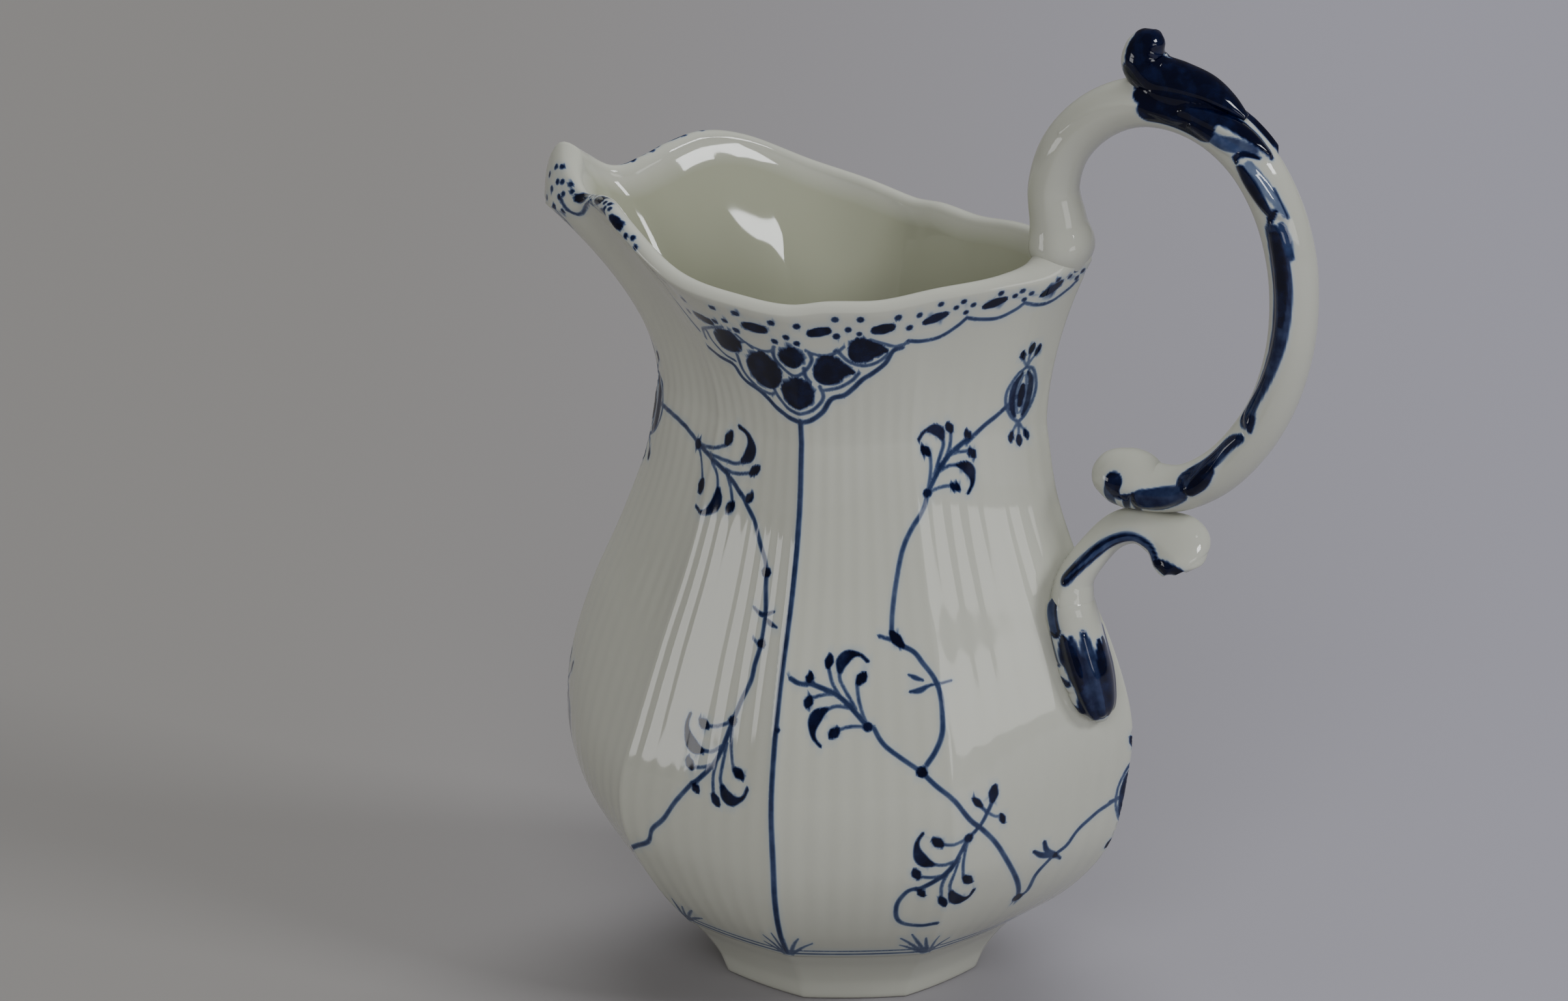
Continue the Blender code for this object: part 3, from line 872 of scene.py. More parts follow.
# --------------------------------------------------------------------------------------------------
# The handle: each station holds x, z, half the thickness in the XZ plane, and half the width along Y. The
# loop's first station is number -1, inside the rim, and the others' first is 0. A place on a rod is a
# station number and an angle v in degrees, measured round the rod from the ridge on its near side,
# positive toward the outside of the curve.
LOOP_START = -1
LOOP_PATH = [
    (33.2, 110.4, 1.6, 2.6), (32.8, 115.2, 4.7, 5.6), (32.1, 119.6, 4.2, 4.7), (31.4, 125.0, 3.8, 4.2),
    (33.2, 131.0, 3.7, 4.2), (37.6, 136.0, 3.7, 4.2), (43.5, 138.9, 3.7, 4.2), (50.0, 139.0, 3.7, 4.2),
    (56.3, 136.6, 3.7, 4.2), (61.6, 132.0, 3.7, 4.2), (65.5, 125.4, 3.7, 4.2), (67.7, 118.0, 3.7, 4.2),
    (68.3, 110.5, 3.6, 4.2), (67.6, 103.0, 3.5, 4.1), (65.4, 95.5, 3.4, 4.0), (61.9, 89.2, 3.4, 4.0),
    (57.3, 84.0, 3.4, 4.0), (52.3, 80.9, 3.4, 4.0), (47.8, 80.2, 3.7, 4.2), (44.6, 81.0, 4.5, 4.6),
    (42.6, 81.2, 4.4, 4.5), (40.4, 81.2, 3.8, 3.8), (38.6, 81.0, 2.2, 2.4), (38.0, 80.9, 0.8, 0.9),
]
SCROLL_PATH = [
    (54.6, 69.5, 0.9, 1.0), (54.3, 70.1, 2.5, 2.6), (53.2, 71.3, 3.8, 3.9), (51.0, 72.6, 4.0, 4.1),
    (48.5, 73.7, 3.0, 3.9), (45.2, 74.3, 2.5, 3.8), (41.7, 73.0, 2.5, 3.8), (39.0, 70.0, 2.6, 3.9),
    (37.0, 66.2, 2.8, 4.0), (37.2, 62.4, 3.0, 4.1), (38.2, 59.0, 2.2, 3.2),
]
THUMB_PATH = [
    (60.6, 138.4, 0.5, 0.8), (57.6, 140.4, 1.6, 2.3), (54.4, 141.9, 2.5, 3.1), (50.6, 142.7, 3.1, 3.5),
    (47.2, 143.2, 3.5, 3.7), (45.2, 144.9, 3.5, 3.6), (45.1, 146.6, 3.2, 3.3), (45.7, 148.0, 2.7, 2.8),
    (46.5, 149.1, 1.9, 2.1), (47.0, 149.9, 0.7, 0.8),
]
RIDGE = 1.25  # above 1, the rod's section comes to a soft ridge on both sides
RIDGE_START = 2.5  # the ridge grows from station 0 to this one

# Cobalt on the loop, as (station, v, radius) with its tone; the leaves follow each other down the ridge.
LOOP_PAINT = [
    ([(5.35, 62, 1.3), (5.9, 60, 1.7), (6.5, 74, 1.8), (7.0, 92, 1.2)], 1.0),
    ([(5.4, 100, 1.5), (6.0, 100, 2.2), (6.8, 112, 1.8)], 1.0),
    ([(5.4, 140, 1.5), (6.0, 150, 2.2), (6.8, 140, 1.8)], 1.0),
    ([(5.6, 180, 2.0), (6.8, 180, 2.0)], 1.0),
    ([(6.2, 29, 0.4), (6.5, 40, 0.9), (6.9, 50, 1.3), (7.5, 62, 1.35), (7.9, 68, 0.9), (8.12, 69, 0.4)], 1.0),
    ([(6.5, 22, 0.6), (6.9, 8, 0.8), (7.2, 6, 0.8), (7.5, 22, 1.0), (7.85, 45, 0.7)], 0.62),
    ([(8.0, 46, 0.25), (7.78, 28, 0.45), (7.72, 10, 0.5), (7.8, -5, 0.25)], 1.0),
    ([(7.95, -5, 0.6), (8.3, -10, 1.0), (8.7, -4, 0.75), (9.0, 10, 0.5)], 0.95),
    ([(8.0, 20, 0.7), (8.4, 24, 0.9), (8.8, 32, 0.7), (9.1, 38, 0.4)], 0.42),
    ([(8.6, 39, 0.25), (9.15, 42, 0.25)], 0.75),
    ([(8.95, 22, 0.3), (9.05, 6, 0.55), (9.12, -8, 0.25)], 1.0),
    ([(9.25, 24, 0.55), (9.5, 26, 0.75), (9.85, 25, 0.7)], 0.68),
    ([(9.3, -8, 1.2), (10.0, -12, 1.65), (11.0, -17, 1.6), (12.0, -28, 1.4), (12.5, -36, 1.3),
      (13.0, -44, 1.35), (13.4, -42, 1.7)], 0.8),
    ([(9.4, -2, 0.9), (10.2, -4, 0.8), (11.2, -12, 0.5)], 1.0),
    ([(13.3, -28, 0.8), (13.55, -12, 0.35)], 0.9),
    ([(13.85, -24, 0.7), (14.2, -40, 1.2), (14.8, -38, 1.3), (15.3, -34, 1.8), (15.6, -28, 1.9)], 0.82),
    ([(14.9, -22, 0.8), (15.3, -12, 1.2), (15.6, 2, 0.7)], 1.0),
    ([(15.72, 4, 0.3), (15.78, -20, 0.5), (15.85, -42, 0.3)], 1.0),
    ([(16.0, 0, 1.4), (16.4, 8, 1.8), (16.8, 18, 2.0), (17.2, 20, 1.9)], 0.78),
    ([(17.55, 105, 0.35), (17.35, 62, 0.4), (17.45, 32, 0.55), (17.62, 8, 0.35)], 1.0),
    ([(17.8, 60, 0.4), (17.9, 30, 0.6), (17.75, 14, 0.3)], 0.9),
    ([(19.1, -14, 1.4), (19.15, 4, 1.2), (18.9, 22, 0.8), (18.4, 26, 0.5), (18.0, 22, 0.5)], 0.92),
    ([(19.2, 6, 1.2), (19.45, 34, 0.9), (19.3, 60, 0.6)], 0.7),
]
# Moulded relief on the loop, as (station, v, radius) with its height in millimetres.
LOOP_RELIEF = [
    ([(5.2, 80, 1.2), (5.7, 54, 1.6), (6.3, 60, 1.8), (6.9, 86, 1.6)], 0.9),
    ([(6.3, 26, 0.9), (6.8, 34, 1.5), (7.5, 52, 1.7), (8.05, 66, 0.8)], 0.75),
    ([(6.6, 0, 0.9), (7.1, 0, 1.2), (7.6, 12, 1.0)], 0.45),
    ([(7.9, 4, 0.9), (8.3, 2, 1.6), (8.8, 16, 1.5), (9.1, 34, 0.8)], 0.65),
    ([(9.2, 10, 0.9), (9.5, 6, 1.5), (10.2, -6, 1.6), (11.2, -12, 1.4), (12.4, -28, 1.3), (13.2, -38, 1.6),
      (13.55, -20, 0.8)], 0.5),
    ([(13.9, -30, 0.8), (14.4, -38, 1.2), (15.0, -28, 1.6), (15.6, -6, 1.4)], 0.5),
    ([(15.9, -14, 1.2), (16.5, 6, 1.8), (17.2, 16, 2.0)], 0.45),
    ([(3.4, 32, 0.5), (4.5, 22, 0.55), (5.3, 13, 0.55), (5.6, -3, 0.5), (6.1, -13, 0.5),
      (6.45, 2, 0.4)], 0.3),
]
SCROLL_PAINT = [
    ([(1.1, 24, 0.7), (1.7, 32, 1.2), (2.3, 36, 1.3), (2.9, 40, 0.9)], 1.0),
    ([(2.9, 42, 0.65), (3.6, 32, 0.75), (4.3, 24, 0.8), (5.2, 22, 0.85), (6.1, 20, 0.9), (6.9, 12, 0.95),
      (7.8, -6, 0.9)], 0.66),
    ([(3.0, 54, 0.3), (3.8, 42, 0.22), (5.0, 34, 0.22), (6.0, 32, 0.25), (6.8, 24, 0.25),
      (7.8, 6, 0.3)], 0.98),
    ([(3.2, 30, 0.2), (4.2, 14, 0.2), (5.2, 10, 0.22), (6.0, 8, 0.25), (6.9, -2, 0.3),
      (7.8, -18, 0.35)], 0.98),
    ([(7.65, 12, 0.3), (7.9, -2, 0.35), (7.8, -18, 0.3)], 1.0),
]
SCROLL_RELIEF = [
    ([(3.0, 44, 0.6), (4.2, 24, 1.0), (5.2, 22, 1.1), (6.1, 20, 1.2), (6.9, 12, 1.2), (7.8, -6, 1.1)], 0.4),
]
THUMB_PAINT = [
    ([(0.2, 0, 3.0), (2.0, 0, 5.0), (4.0, 10, 5.0)], 1.0),
    ([(0.2, 180, 3.0), (2.0, 180, 5.0), (3.6, 180, 4.0)], 1.0),
    ([(4.0, -20, 2.6), (5.5, -16, 2.8), (7.0, -10, 3.0), (9.0, -10, 3.2)], 1.0),
    ([(4.2, 26, 1.3), (4.8, 46, 1.2), (5.2, 40, 0.9)], 1.0),
]


STATION_STEP = 0.02  # for the direction of a rod at a station


def sweep_points(path, start, station, v):
    """Points on an oval rod with a soft ridge at each side; positive Y is the side v runs over beyond 90."""
    def along(field, place):
        return smooth([(start + i, row[field]) for i, row in enumerate(path)], place)

    x, z, thickness, width = (along(field, station) for field in range(4))
    ahead = station + STATION_STEP
    behind = station - STATION_STEP
    forward_x, forward_z = (along(field, ahead) - along(field, behind) for field in (0, 1))
    length = np.maximum(np.hypot(forward_x, forward_z), TINY)
    out_x, out_z = -forward_z / length, forward_x / length
    turn = np.radians(v)
    ridge = 1 + (RIDGE - 1) * step(0.0, RIDGE_START, station)
    across = np.sign(np.sin(turn)) * np.abs(np.sin(turn)) ** ridge
    return np.stack([x + out_x * thickness * across, -width * np.cos(turn),
                     z + out_z * thickness * across], -1)


def mirrored(strokes):
    """The same strokes on both sides of the handle."""
    both = []
    for points, strength in strokes:
        path = densify(points)
        both.append((path, strength))
        other = path.copy()
        other[:, 1] = 180.0 - other[:, 1]
        both.append((other, strength))
    return both


def densify(points):
    """A smooth path through (station, v, radius) points."""
    table = np.array(points, float)
    count = max(8, int(6 * (len(table) - 1)))
    place = np.linspace(0, len(table) - 1, count)
    knots = np.arange(len(table))
    return np.stack([smooth(list(zip(knots, table[:, field])), place) for field in range(3)], -1)


# A moulded leaf rises from just outside its outline to its full height well inside it.
RELIEF_INSIDE = -1.0
RELIEF_OUTSIDE = 0.35
RELIEF_REACH = 1.2


def relief_height(points, strokes, place):
    """How far moulded leaves stand out at each point."""
    height = np.zeros(len(points))
    for path, rise in strokes:
        closest = distance_to(points, place(path), path[:, -1], RELIEF_REACH)
        height = np.maximum(height, rise * (1 - step(RELIEF_INSIDE, RELIEF_OUTSIDE, closest)))
    return height


FAR = 1e9


def distance_to(spots, line_points, radius, reach):
    """Distance from each point to the edge of a stroke; points beyond reach are left far."""
    closest = np.full(len(spots), FAR)
    reach = radius.max() + reach
    near = np.all((spots > line_points.min(0) - reach) & (spots < line_points.max(0) + reach), axis=1)
    chosen = np.nonzero(near)[0]
    picked = spots[chosen]
    best = np.full(len(chosen), FAR)
    for i in range(len(line_points) - 1):
        a, b = line_points[i], line_points[i + 1]
        along = b - a
        t = np.clip(((picked - a) @ along) / max(along @ along, TINY), 0, 1)
        gap = np.linalg.norm(picked - a - t[:, None] * along, axis=1)
        best = np.minimum(best, gap - (radius[i] + (radius[i + 1] - radius[i]) * t))
    closest[chosen] = best
    return closest


def unmoved(points):
    """The loop and the thumb rest stand straight."""
    return points


def make_rod(name, path, start, paint, relief, rings, sides, lean):
    """A painted rod with moulded leaves, closed at both ends."""
    stations = np.linspace(start, start + len(path) - 1, rings)
    angles = np.arange(sides) * 360.0 / sides
    k, v = np.meshgrid(stations, angles, indexing="ij")
    k, v = k.ravel(), v.ravel()
    points = sweep_points(path, start, k, v)

    def place(row):
        return sweep_points(path, start, row[:, 0], row[:, 1])

    cobalt = coverage(points, mirrored(paint), place)
    if relief:
        along = (sweep_points(path, start, k + STATION_STEP, v)
                 - sweep_points(path, start, k - STATION_STEP, v))
        around = sweep_points(path, start, k, v + 1) - sweep_points(path, start, k, v - 1)
        normal = np.cross(around, along)
        normal /= np.maximum(np.linalg.norm(normal, axis=1, keepdims=True), TINY)
        middle = points.reshape(rings, sides, 3).mean(1)
        outward = points - np.repeat(middle, sides, axis=0)
        normal *= np.sign((normal * outward).sum(1, keepdims=True))
        points = points + normal * relief_height(points, mirrored(relief), place)[:, None]
    points = lean(points)
    grid = np.arange(rings * sides).reshape(rings, sides)
    faces = [band(grid[i], grid[i + 1]) for i in range(rings - 1)]
    ends = [points[grid[0]].mean(0), points[grid[-1]].mean(0)]
    faces.append(fan_faces(grid[0][::-1], len(points)))
    faces.append(fan_faces(grid[-1], len(points) + 1))
    points = np.vstack([points, ends])
    mesh = mesh_from(name, points, np.vstack(faces))
    store(mesh, "cobalt", np.concatenate([cobalt, cobalt[[0, -1]]]))
    return mesh


def turned(points, degrees):
    """Points turned round the jug's axis, each by its own angle."""
    turn = np.radians(degrees)
    x = points[:, 0] * np.cos(turn) - points[:, 1] * np.sin(turn)
    y = points[:, 0] * np.sin(turn) + points[:, 1] * np.cos(turn)
    return np.column_stack([x, y, points[:, 2]])


def kept_outside(points):
    """Points moved outward where they would come through the body's wall into the jug."""
    angle = np.degrees(np.arctan2(points[:, 1], points[:, 0]))
    wall = section(angle, points[:, 2])[0] - BELLY_LEAN - SINK
    further = np.maximum(wall / np.hypot(points[:, 0], points[:, 1]), 1.0)
    return points * np.column_stack([further, further, np.ones(len(points))])


LEAN_START = 76.0  # above this height the scroll is straight
LEAN_END = 62.0  # and below this one it is set over by the whole angle


def lean_over(points):
    """The scroll sets over gradually on its way down to the body."""
    return kept_outside(turned(points, HANDLE_TURN * (1 - step(LEAN_END, LEAN_START, points[:, 2]))))


# The lower leaf lies half sunk on the body, under the scroll; its painting is like the handle's.
LEAF_PATH = [
    (36.6, 65.8, 1.6, 2.6), (37.0, 62.6, 3.2, 4.2), (37.9, 58.8, 3.5, 4.4), (38.9, 55.2, 3.6, 4.4),
    (40.0, 51.9, 3.5, 4.2), (40.9, 49.0, 3.1, 3.6), (41.6, 46.7, 2.4, 2.7), (42.1, 45.0, 0.9, 1.0),
]
LEAF_PAINT = [
    ([(0.0, -22, 0.75), (0.9, -24, 0.8), (1.75, -26, 0.7)], 0.72),
    ([(0.0, -10, 0.22), (0.9, -12, 0.22), (1.75, -14, 0.25)], 0.98),
    ([(1.75, -12, 0.3), (1.95, -24, 0.35), (1.8, -36, 0.3)], 1.0),
    ([(1.95, -44, 0.5), (2.5, -44, 0.6), (3.1, -40, 0.4)], 0.85),
    ([(2.0, -2, 0.4), (2.4, -2, 1.1), (3.0, 0, 1.4), (3.7, 4, 1.2), (4.2, 6, 0.8)], 1.0),
    ([(2.1, 22, 0.4), (2.7, 22, 0.9), (3.6, 20, 1.3), (4.8, 18, 1.5), (5.6, 14, 1.4), (6.2, 12, 1.1)], 0.84),
    ([(2.0, 50, 0.4), (2.6, 50, 1.0), (3.6, 48, 1.5), (4.8, 46, 1.7), (5.8, 46, 1.4), (6.3, 48, 0.9)], 0.78),
    ([(2.6, 82, 0.5), (3.4, 80, 1.3), (4.6, 80, 1.6), (5.6, 80, 1.4), (6.2, 82, 0.9)], 0.96),
    ([(4.8, -8, 0.5), (5.4, -6, 0.9), (5.9, -2, 0.9)], 0.92),
    ([(3.7, -40, 0.3), (4.0, -30, 0.5)], 0.9),
    ([(5.2, -36, 0.3), (5.5, -24, 0.4)], 0.9),
]
LEAF_RELIEF = [
    ([(0.8, -40, 0.8), (1.8, -40, 1.3), (2.9, -38, 1.4)], 0.5),
    ([(3.2, -44, 0.9), (3.8, -42, 1.3), (4.3, -36, 1.0)], 0.6),
    ([(4.6, -38, 0.9), (5.1, -34, 1.1), (5.6, -28, 0.9)], 0.6),
    ([(2.0, 8, 0.6), (4.0, 10, 0.9), (6.4, 12, 0.8)], 0.35),
    ([(2.2, 48, 0.6), (4.0, 48, 0.9), (6.2, 48, 0.8)], 0.35),
]


def lean_all(points):
    """The leaf is set over by the whole angle."""
    return kept_outside(turned(points, np.full(len(points), HANDLE_TURN)))


# The foot: the (height, radius) of its corners outside, then the recess and its edge as (radius, height).
FOOT_TOP = 9.6
FOOT_PROFILE = [(0.0, 19.7), (0.15, 20.1), (0.5, 20.4), (1.0, 20.6), (3.5, 21.7), (6.5, 23.8), (8.6, 25.7),
                (FOOT_TOP, 26.4)]
RECESS_RADIUS = 17.0
RECESS_PROFILE = [(RECESS_RADIUS, FOOT_TOP), (RECESS_RADIUS, 8.6), (RECESS_RADIUS, 0.7),
                  (RECESS_RADIUS + 0.3, 0.2), (RECESS_RADIUS + 0.8, 0.0)]
FOOT_COLUMNS = 192
FOOT_ROWS = 22
BARE_HEIGHT = 0.2  # the foot is unglazed below this


def make_foot(name):
    """The flared octagonal foot, open underneath; its top reaches into the body."""
    angles = np.arange(FOOT_COLUMNS) * 360.0 / FOOT_COLUMNS
    flat_reach = math.cos(math.radians(FACET / 2))
    shape = flat_reach / np.cos(np.radians(np.mod(angles, FACET) - FACET / 2))
    rounded = 1.0 - 0.5 * (1 - flat_reach)
    shape = shape + FACET_SOFTNESS * (rounded - shape)
    heights = np.concatenate([[0.0, 0.1, 0.25, 0.5, 1.0], np.linspace(1.5, FOOT_TOP, FOOT_ROWS)])
    rings = [ring_point(smooth(FOOT_PROFILE, height) * shape, angles, height) for height in heights]
    for radius, height in RECESS_PROFILE:
        rings.append(ring_point(radius, angles, height))
    grid = np.arange(FOOT_COLUMNS * len(rings)).reshape(len(rings), FOOT_COLUMNS)
    faces = [band(lower, upper) for lower, upper in zip(grid, np.roll(grid, -1, axis=0))]
    mesh = mesh_from(name, np.vstack(rings), np.vstack(faces))
    store(mesh, "bare", np.concatenate([np.where(ring[:, 2] < BARE_HEIGHT, 1.0, 0.0) for ring in rings]))
    return mesh


# --------------------------------------------------------------------------------------------------
# Materials
PORCELAIN = (0.53, 0.535, 0.465)
HANDLE_PORCELAIN_SHADED = (0.49, 0.495, 0.43)  # the same porcelain drawn a little darker on the handle's pieces: painted shade, with the thicker porcelain's greyer tone
INSIDE_PAINTED_SHADE = (0.66, 0.67, 0.58)  # painted shade: the glaze inside the jug is drawn darker and greener than outside, as a share of the outside's colour
# The cobalt's colour, from its thinnest wash to its thickest.
COBALT = [(0.10, (0.40, 0.45, 0.47)), (0.34, (0.135, 0.175, 0.26)), (0.62, (0.030, 0.048, 0.115)),
          (0.84, (0.003, 0.007, 0.036)), (1.0, (0.0008, 0.0018, 0.013))]
BISCUIT = [(0.3, (0.58, 0.55, 0.49)), (0.7, (0.66, 0.63, 0.57))]
GLAZED_ROUGHNESS = 0.055
BARE_ROUGHNESS = 0.75


def grey(level):
    """A colour whose three channels are equal."""
    return level, level, level


# The colour sockets of a Mix node, which has several of the same name.
MIX_FIRST = 6
MIX_SECOND = 7
MIX_RESULT = 2


def new_material(name):
    """A material, with its nodes, its links, its shader and the place on the object that paints it."""
    material = bpy.data.materials.new(name)
    material.use_nodes = True
    nodes = material.node_tree.nodes
    place = nodes.new("ShaderNodeTexCoord").outputs["Object"]
    return material, nodes, material.node_tree.links, nodes["Principled BSDF"], place


def glaze(name, tint):
    """White porcelain under a clear glaze, with painted shade inside the jug, cobalt where it is painted and
    bare clay where it stands.
    """
    material, nodes, links, shader, place = new_material(name)
    shader.inputs["IOR"].default_value = 1.5
    shader.inputs["Specular IOR Level"].default_value = 0.42
    shader.inputs["Subsurface Weight"].default_value = 0.12
    shader.inputs["Subsurface Radius"].default_value = (1.0, 0.9, 0.7)
    shader.inputs["Subsurface Scale"].default_value = 0.0009

    def noise(scale, detail):
        node = nodes.new("ShaderNodeTexNoise")
        node.inputs["Scale"].default_value = scale
        node.inputs["Detail"].default_value = detail
        links.new(place, node.inputs["Vector"])
        return node.outputs["Fac"]

    def ramp(source, stops):
        node = nodes.new("ShaderNodeValToRGB")
        marks = node.color_ramp.elements
        marks[0].position, marks[0].color = stops[0][0], (*stops[0][1], 1.0)
        marks[1].position, marks[1].color = stops[-1][0], (*stops[-1][1], 1.0)
        for position, colour in stops[1:-1]:
            marks.new(position).color = (*colour, 1.0)
        links.new(source, node.inputs["Fac"])
        return node.outputs["Color"]

    def mix(share, first, second):
        node = nodes.new("ShaderNodeMix")
        node.data_type = "RGBA"
        links.new(share, node.inputs["Factor"])
        links.new(first, node.inputs[MIX_FIRST])
        links.new(second, node.inputs[MIX_SECOND])
        return node.outputs[MIX_RESULT]

    def attribute(label):
        node = nodes.new("ShaderNodeAttribute")
        node.attribute_name = label
        return node.outputs["Fac"]

    def multiplied(first, second):
        node = nodes.new("ShaderNodeMath")
        node.operation = "MULTIPLY"
        links.new(first, node.inputs[0])
        links.new(second, node.inputs[1])
        return node.outputs[0]

    # Painted shade: the inside of the jug gets a darker, greener copy of the porcelain's colour, and clay
    # carries it.
    inside_painted_shade_tint = tuple(channel * shade for channel, shade in zip(tint, INSIDE_PAINTED_SHADE))
    outside = ramp(noise(38.0, 2.0), [(0.3, tuple(0.95 * c for c in tint)), (0.7, tint)])
    inside = ramp(noise(30.0, 2.0), [(0.3, tuple(0.96 * c for c in inside_painted_shade_tint)), (0.7, inside_painted_shade_tint)])
    clay = mix(attribute("inside"), outside, inside)
    strength = ramp(noise(420.0, 3.0), [(0.3, grey(0.84)), (0.65, grey(1.08))])
    wash = multiplied(attribute("cobalt"), strength)
    cover = ramp(wash, [(0.0, grey(0.0)), (0.2, grey(1.0))])
    painted = mix(cover, clay, ramp(wash, COBALT))
    bare = attribute("bare")
    links.new(mix(bare, painted, ramp(noise(900.0, 4.0), BISCUIT)), shader.inputs["Base Color"])
    roughness = ramp(bare, [(0.0, grey(GLAZED_ROUGHNESS)), (1.0, grey(BARE_ROUGHNESS))])
    links.new(roughness, shader.inputs["Roughness"])
    bump = nodes.new("ShaderNodeBump")
    bump.inputs["Strength"].default_value = 0.25
    bump.inputs["Distance"].default_value = 0.00008
    links.new(noise(160.0, 1.5), bump.inputs["Height"])
    links.new(bump.outputs["Normal"], shader.inputs["Normal"])
    return material


def paper(name, left, right):
    """A matt floor whose tone changes evenly from one side of the jug to the other, as the camera sees it:
    painted light and shade across the floor.
    """
    material, nodes, links, shader, place = new_material(name)
    shader.inputs["Roughness"].default_value = 0.85
    turn = nodes.new("ShaderNodeMapping")
    turn.inputs["Rotation"].default_value = (0, 0, math.radians(-CAMERA_AZIMUTH))
    turn.inputs["Scale"].default_value = (3.4, 3.4, 3.4)
    turn.inputs["Location"].default_value = (0.5, 0, 0)
    ramp = nodes.new("ShaderNodeValToRGB")
    ramp.color_ramp.interpolation = "EASE"
    stops = ramp.color_ramp.elements
    stops[0].position, stops[0].color = 0.1, (*left, 1.0)
    stops[1].position, stops[1].color = 0.9, (*right, 1.0)
    across = nodes.new("ShaderNodeSeparateXYZ")
    links.new(place, turn.inputs["Vector"])
    links.new(turn.outputs["Vector"], across.inputs["Vector"])
    links.new(across.outputs["X"], ramp.inputs["Fac"])
    links.new(ramp.outputs["Color"], shader.inputs["Base Color"])
    return material


# --------------------------------------------------------------------------------------------------
# Camera, floor and light
CAMERA_DISTANCE = 1.55
CAMERA_TARGET = (AXIS_X, 0, 0.075)
AIM_LEFT = 0.0099  # the camera points this far beside and below its target
AIM_DOWN = 0.0027
PAPER_SIZE = 6.0
# The floor's colour at its left and right: painted shade on the left, warmer and darker, and painted light on
# the right.
PAPER_LEFT_SHADED = (0.264, 0.252, 0.24)
PAPER_RIGHT_LIT = (0.33, 0.32, 0.365)
LIGHT_TARGET = (AXIS_X, 0, 0.06)
# Each light: name, azimuth from the handle's side and elevation in degrees, distance and size in metres,
# power in watts, colour, and whether the glaze mirrors it.
WINDOWS = [
    ("window_left", -148, 7, 1.3, (0.46, 0.25), 1.5, (1, 1, 1), True),
    ("window_right", -21, 9, 1.3, (0.46, 0.28), 1.35, (1, 1, 1), True),
    ("key", -4, 34, 1.3, (0.3, 0.3), 6.5, (0.96, 0.98, 1.0), True),
    ("front", -75, 30, 1.5, (0.9, 0.9), 10.5, (0.97, 0.98, 1.0), False),
    ("sky", 100, 52, 1.8, (1.6, 1.6), 27, (0.95, 0.97, 1.0), False),
]


def put(thing, place, direction):
    """Put a camera or a light at a place, looking along a direction."""
    thing.location = place
    thing.rotation_euler = direction.to_track_quat("-Z", "Y").to_euler()
    bpy.context.collection.objects.link(thing)


def add_camera():
    """The photo's camera: a long lens that looks a little down on the near side."""
    azimuth = math.radians(CAMERA_AZIMUTH)
    elevation = math.radians(CAMERA_ELEVATION)
    target = Vector(CAMERA_TARGET)
    outward = Vector((math.sin(azimuth) * math.cos(elevation), -math.cos(azimuth) * math.cos(elevation),
                      math.sin(elevation)))
    right = Vector((math.cos(azimuth), math.sin(azimuth), 0))
    up = outward.cross(right)
    aim = target - right * AIM_LEFT - up * AIM_DOWN
    place = target + outward * CAMERA_DISTANCE
    camera = bpy.data.cameras.new("camera")
    camera.sensor_width = 36.0
    camera.lens = 240.1
    camera.clip_start = 0.05
    camera.clip_end = 50.0
    thing = bpy.data.objects.new("camera", camera)
    put(thing, place, aim - place)
    bpy.context.scene.camera = thing


def add_floor():
    """The grey paper that the jug stands on."""
    mesh = bpy.data.meshes.new("floor")
    corners = [(x * PAPER_SIZE, y * PAPER_SIZE, 0) for x, y in ((-1, -1), (1, -1), (1, 1), (-1, 1))]
    mesh.from_pydata(corners, [], [(0, 1, 2, 3)])
    floor = bpy.data.objects.new("floor", mesh)
    mesh.materials.append(paper("floor", PAPER_LEFT_SHADED, PAPER_RIGHT_LIT))
    bpy.context.collection.objects.link(floor)


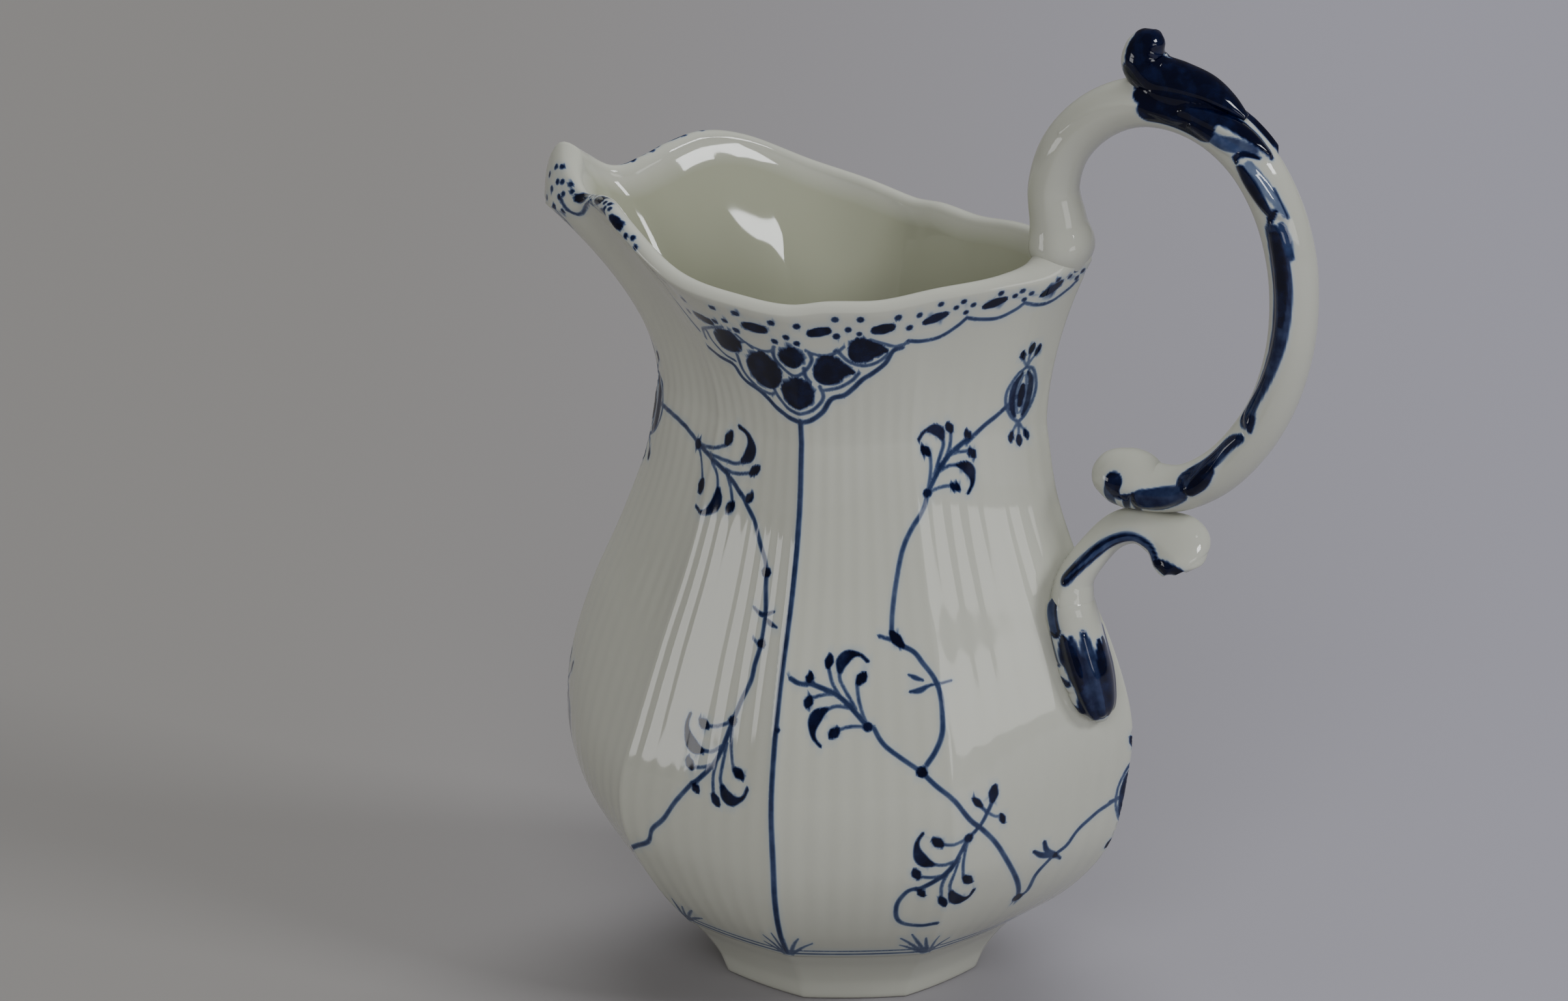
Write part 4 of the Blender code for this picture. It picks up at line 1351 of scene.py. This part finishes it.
def add_window(name, azimuth, elevation, distance, size, power, colour, mirrored_in_glaze):
    """A soft rectangular light that faces the jug, which the glaze may or may not reflect."""
    turn = math.radians(azimuth)
    rise = math.radians(elevation)
    light = bpy.data.lights.new(name, "AREA")
    light.shape = "RECTANGLE"
    light.size, light.size_y = size
    light.energy = power
    light.color = colour
    thing = bpy.data.objects.new(name, light)
    thing.visible_glossy = mirrored_in_glaze
    outward = Vector((math.cos(turn) * math.cos(rise), math.sin(turn) * math.cos(rise), math.sin(rise)))
    put(thing, Vector(LIGHT_TARGET) + outward * distance, -outward)


def add_world():
    """Faint warm light from all round."""
    world = bpy.data.worlds.new("studio")
    world.use_nodes = True
    background = world.node_tree.nodes["Background"]
    background.inputs["Color"].default_value = (1.0, 0.97, 0.92, 1.0)
    background.inputs["Strength"].default_value = 0.11
    bpy.context.scene.world = world


# The handle's pieces, each with its CAD node and its slot, then its path, its first station, its painting and
# relief, its rings and the points in a ring, and how it is set over.
RODS = [
    ("loop_glazed", "handle_loop", "handle_porcelain",
     (LOOP_PATH, LOOP_START, LOOP_PAINT, LOOP_RELIEF, 560, 88, unmoved)),
    ("thumb_leaf", "thumb_rest", "thumb_cobalt", (THUMB_PATH, 0, THUMB_PAINT, [], 120, 64, unmoved)),
    ("scroll_glazed", "handle_scroll", "scroll_porcelain",
     (SCROLL_PATH, 0, SCROLL_PAINT, SCROLL_RELIEF, 200, 72, lean_over)),
    ("leaf_glazed", "lower_leaf", "leaf_cobalt", (LEAF_PATH, 0, LEAF_PAINT, LEAF_RELIEF, 130, 72, lean_all)),
]


def main():
    add_camera()
    add_floor()
    add_world()
    for window in WINDOWS:
        add_window(*window)
    painted = glaze("porcelain_painted", PORCELAIN)
    # The handle's pieces get a darker copy of the porcelain: painted shade, with the thicker porcelain's
    # greyer tone.
    moulded = glaze("porcelain_moulded_shaded", HANDLE_PORCELAIN_SHADED)
    add_piece("body_glazed", make_body_mesh("body_glazed"), painted, ["body"])
    add_piece("foot_glazed", make_foot("foot_glazed"), painted, ["foot_ring"])
    for name, node, slot, shape in RODS:
        add_piece(name, make_rod(name, *shape), moulded, [node])


main()
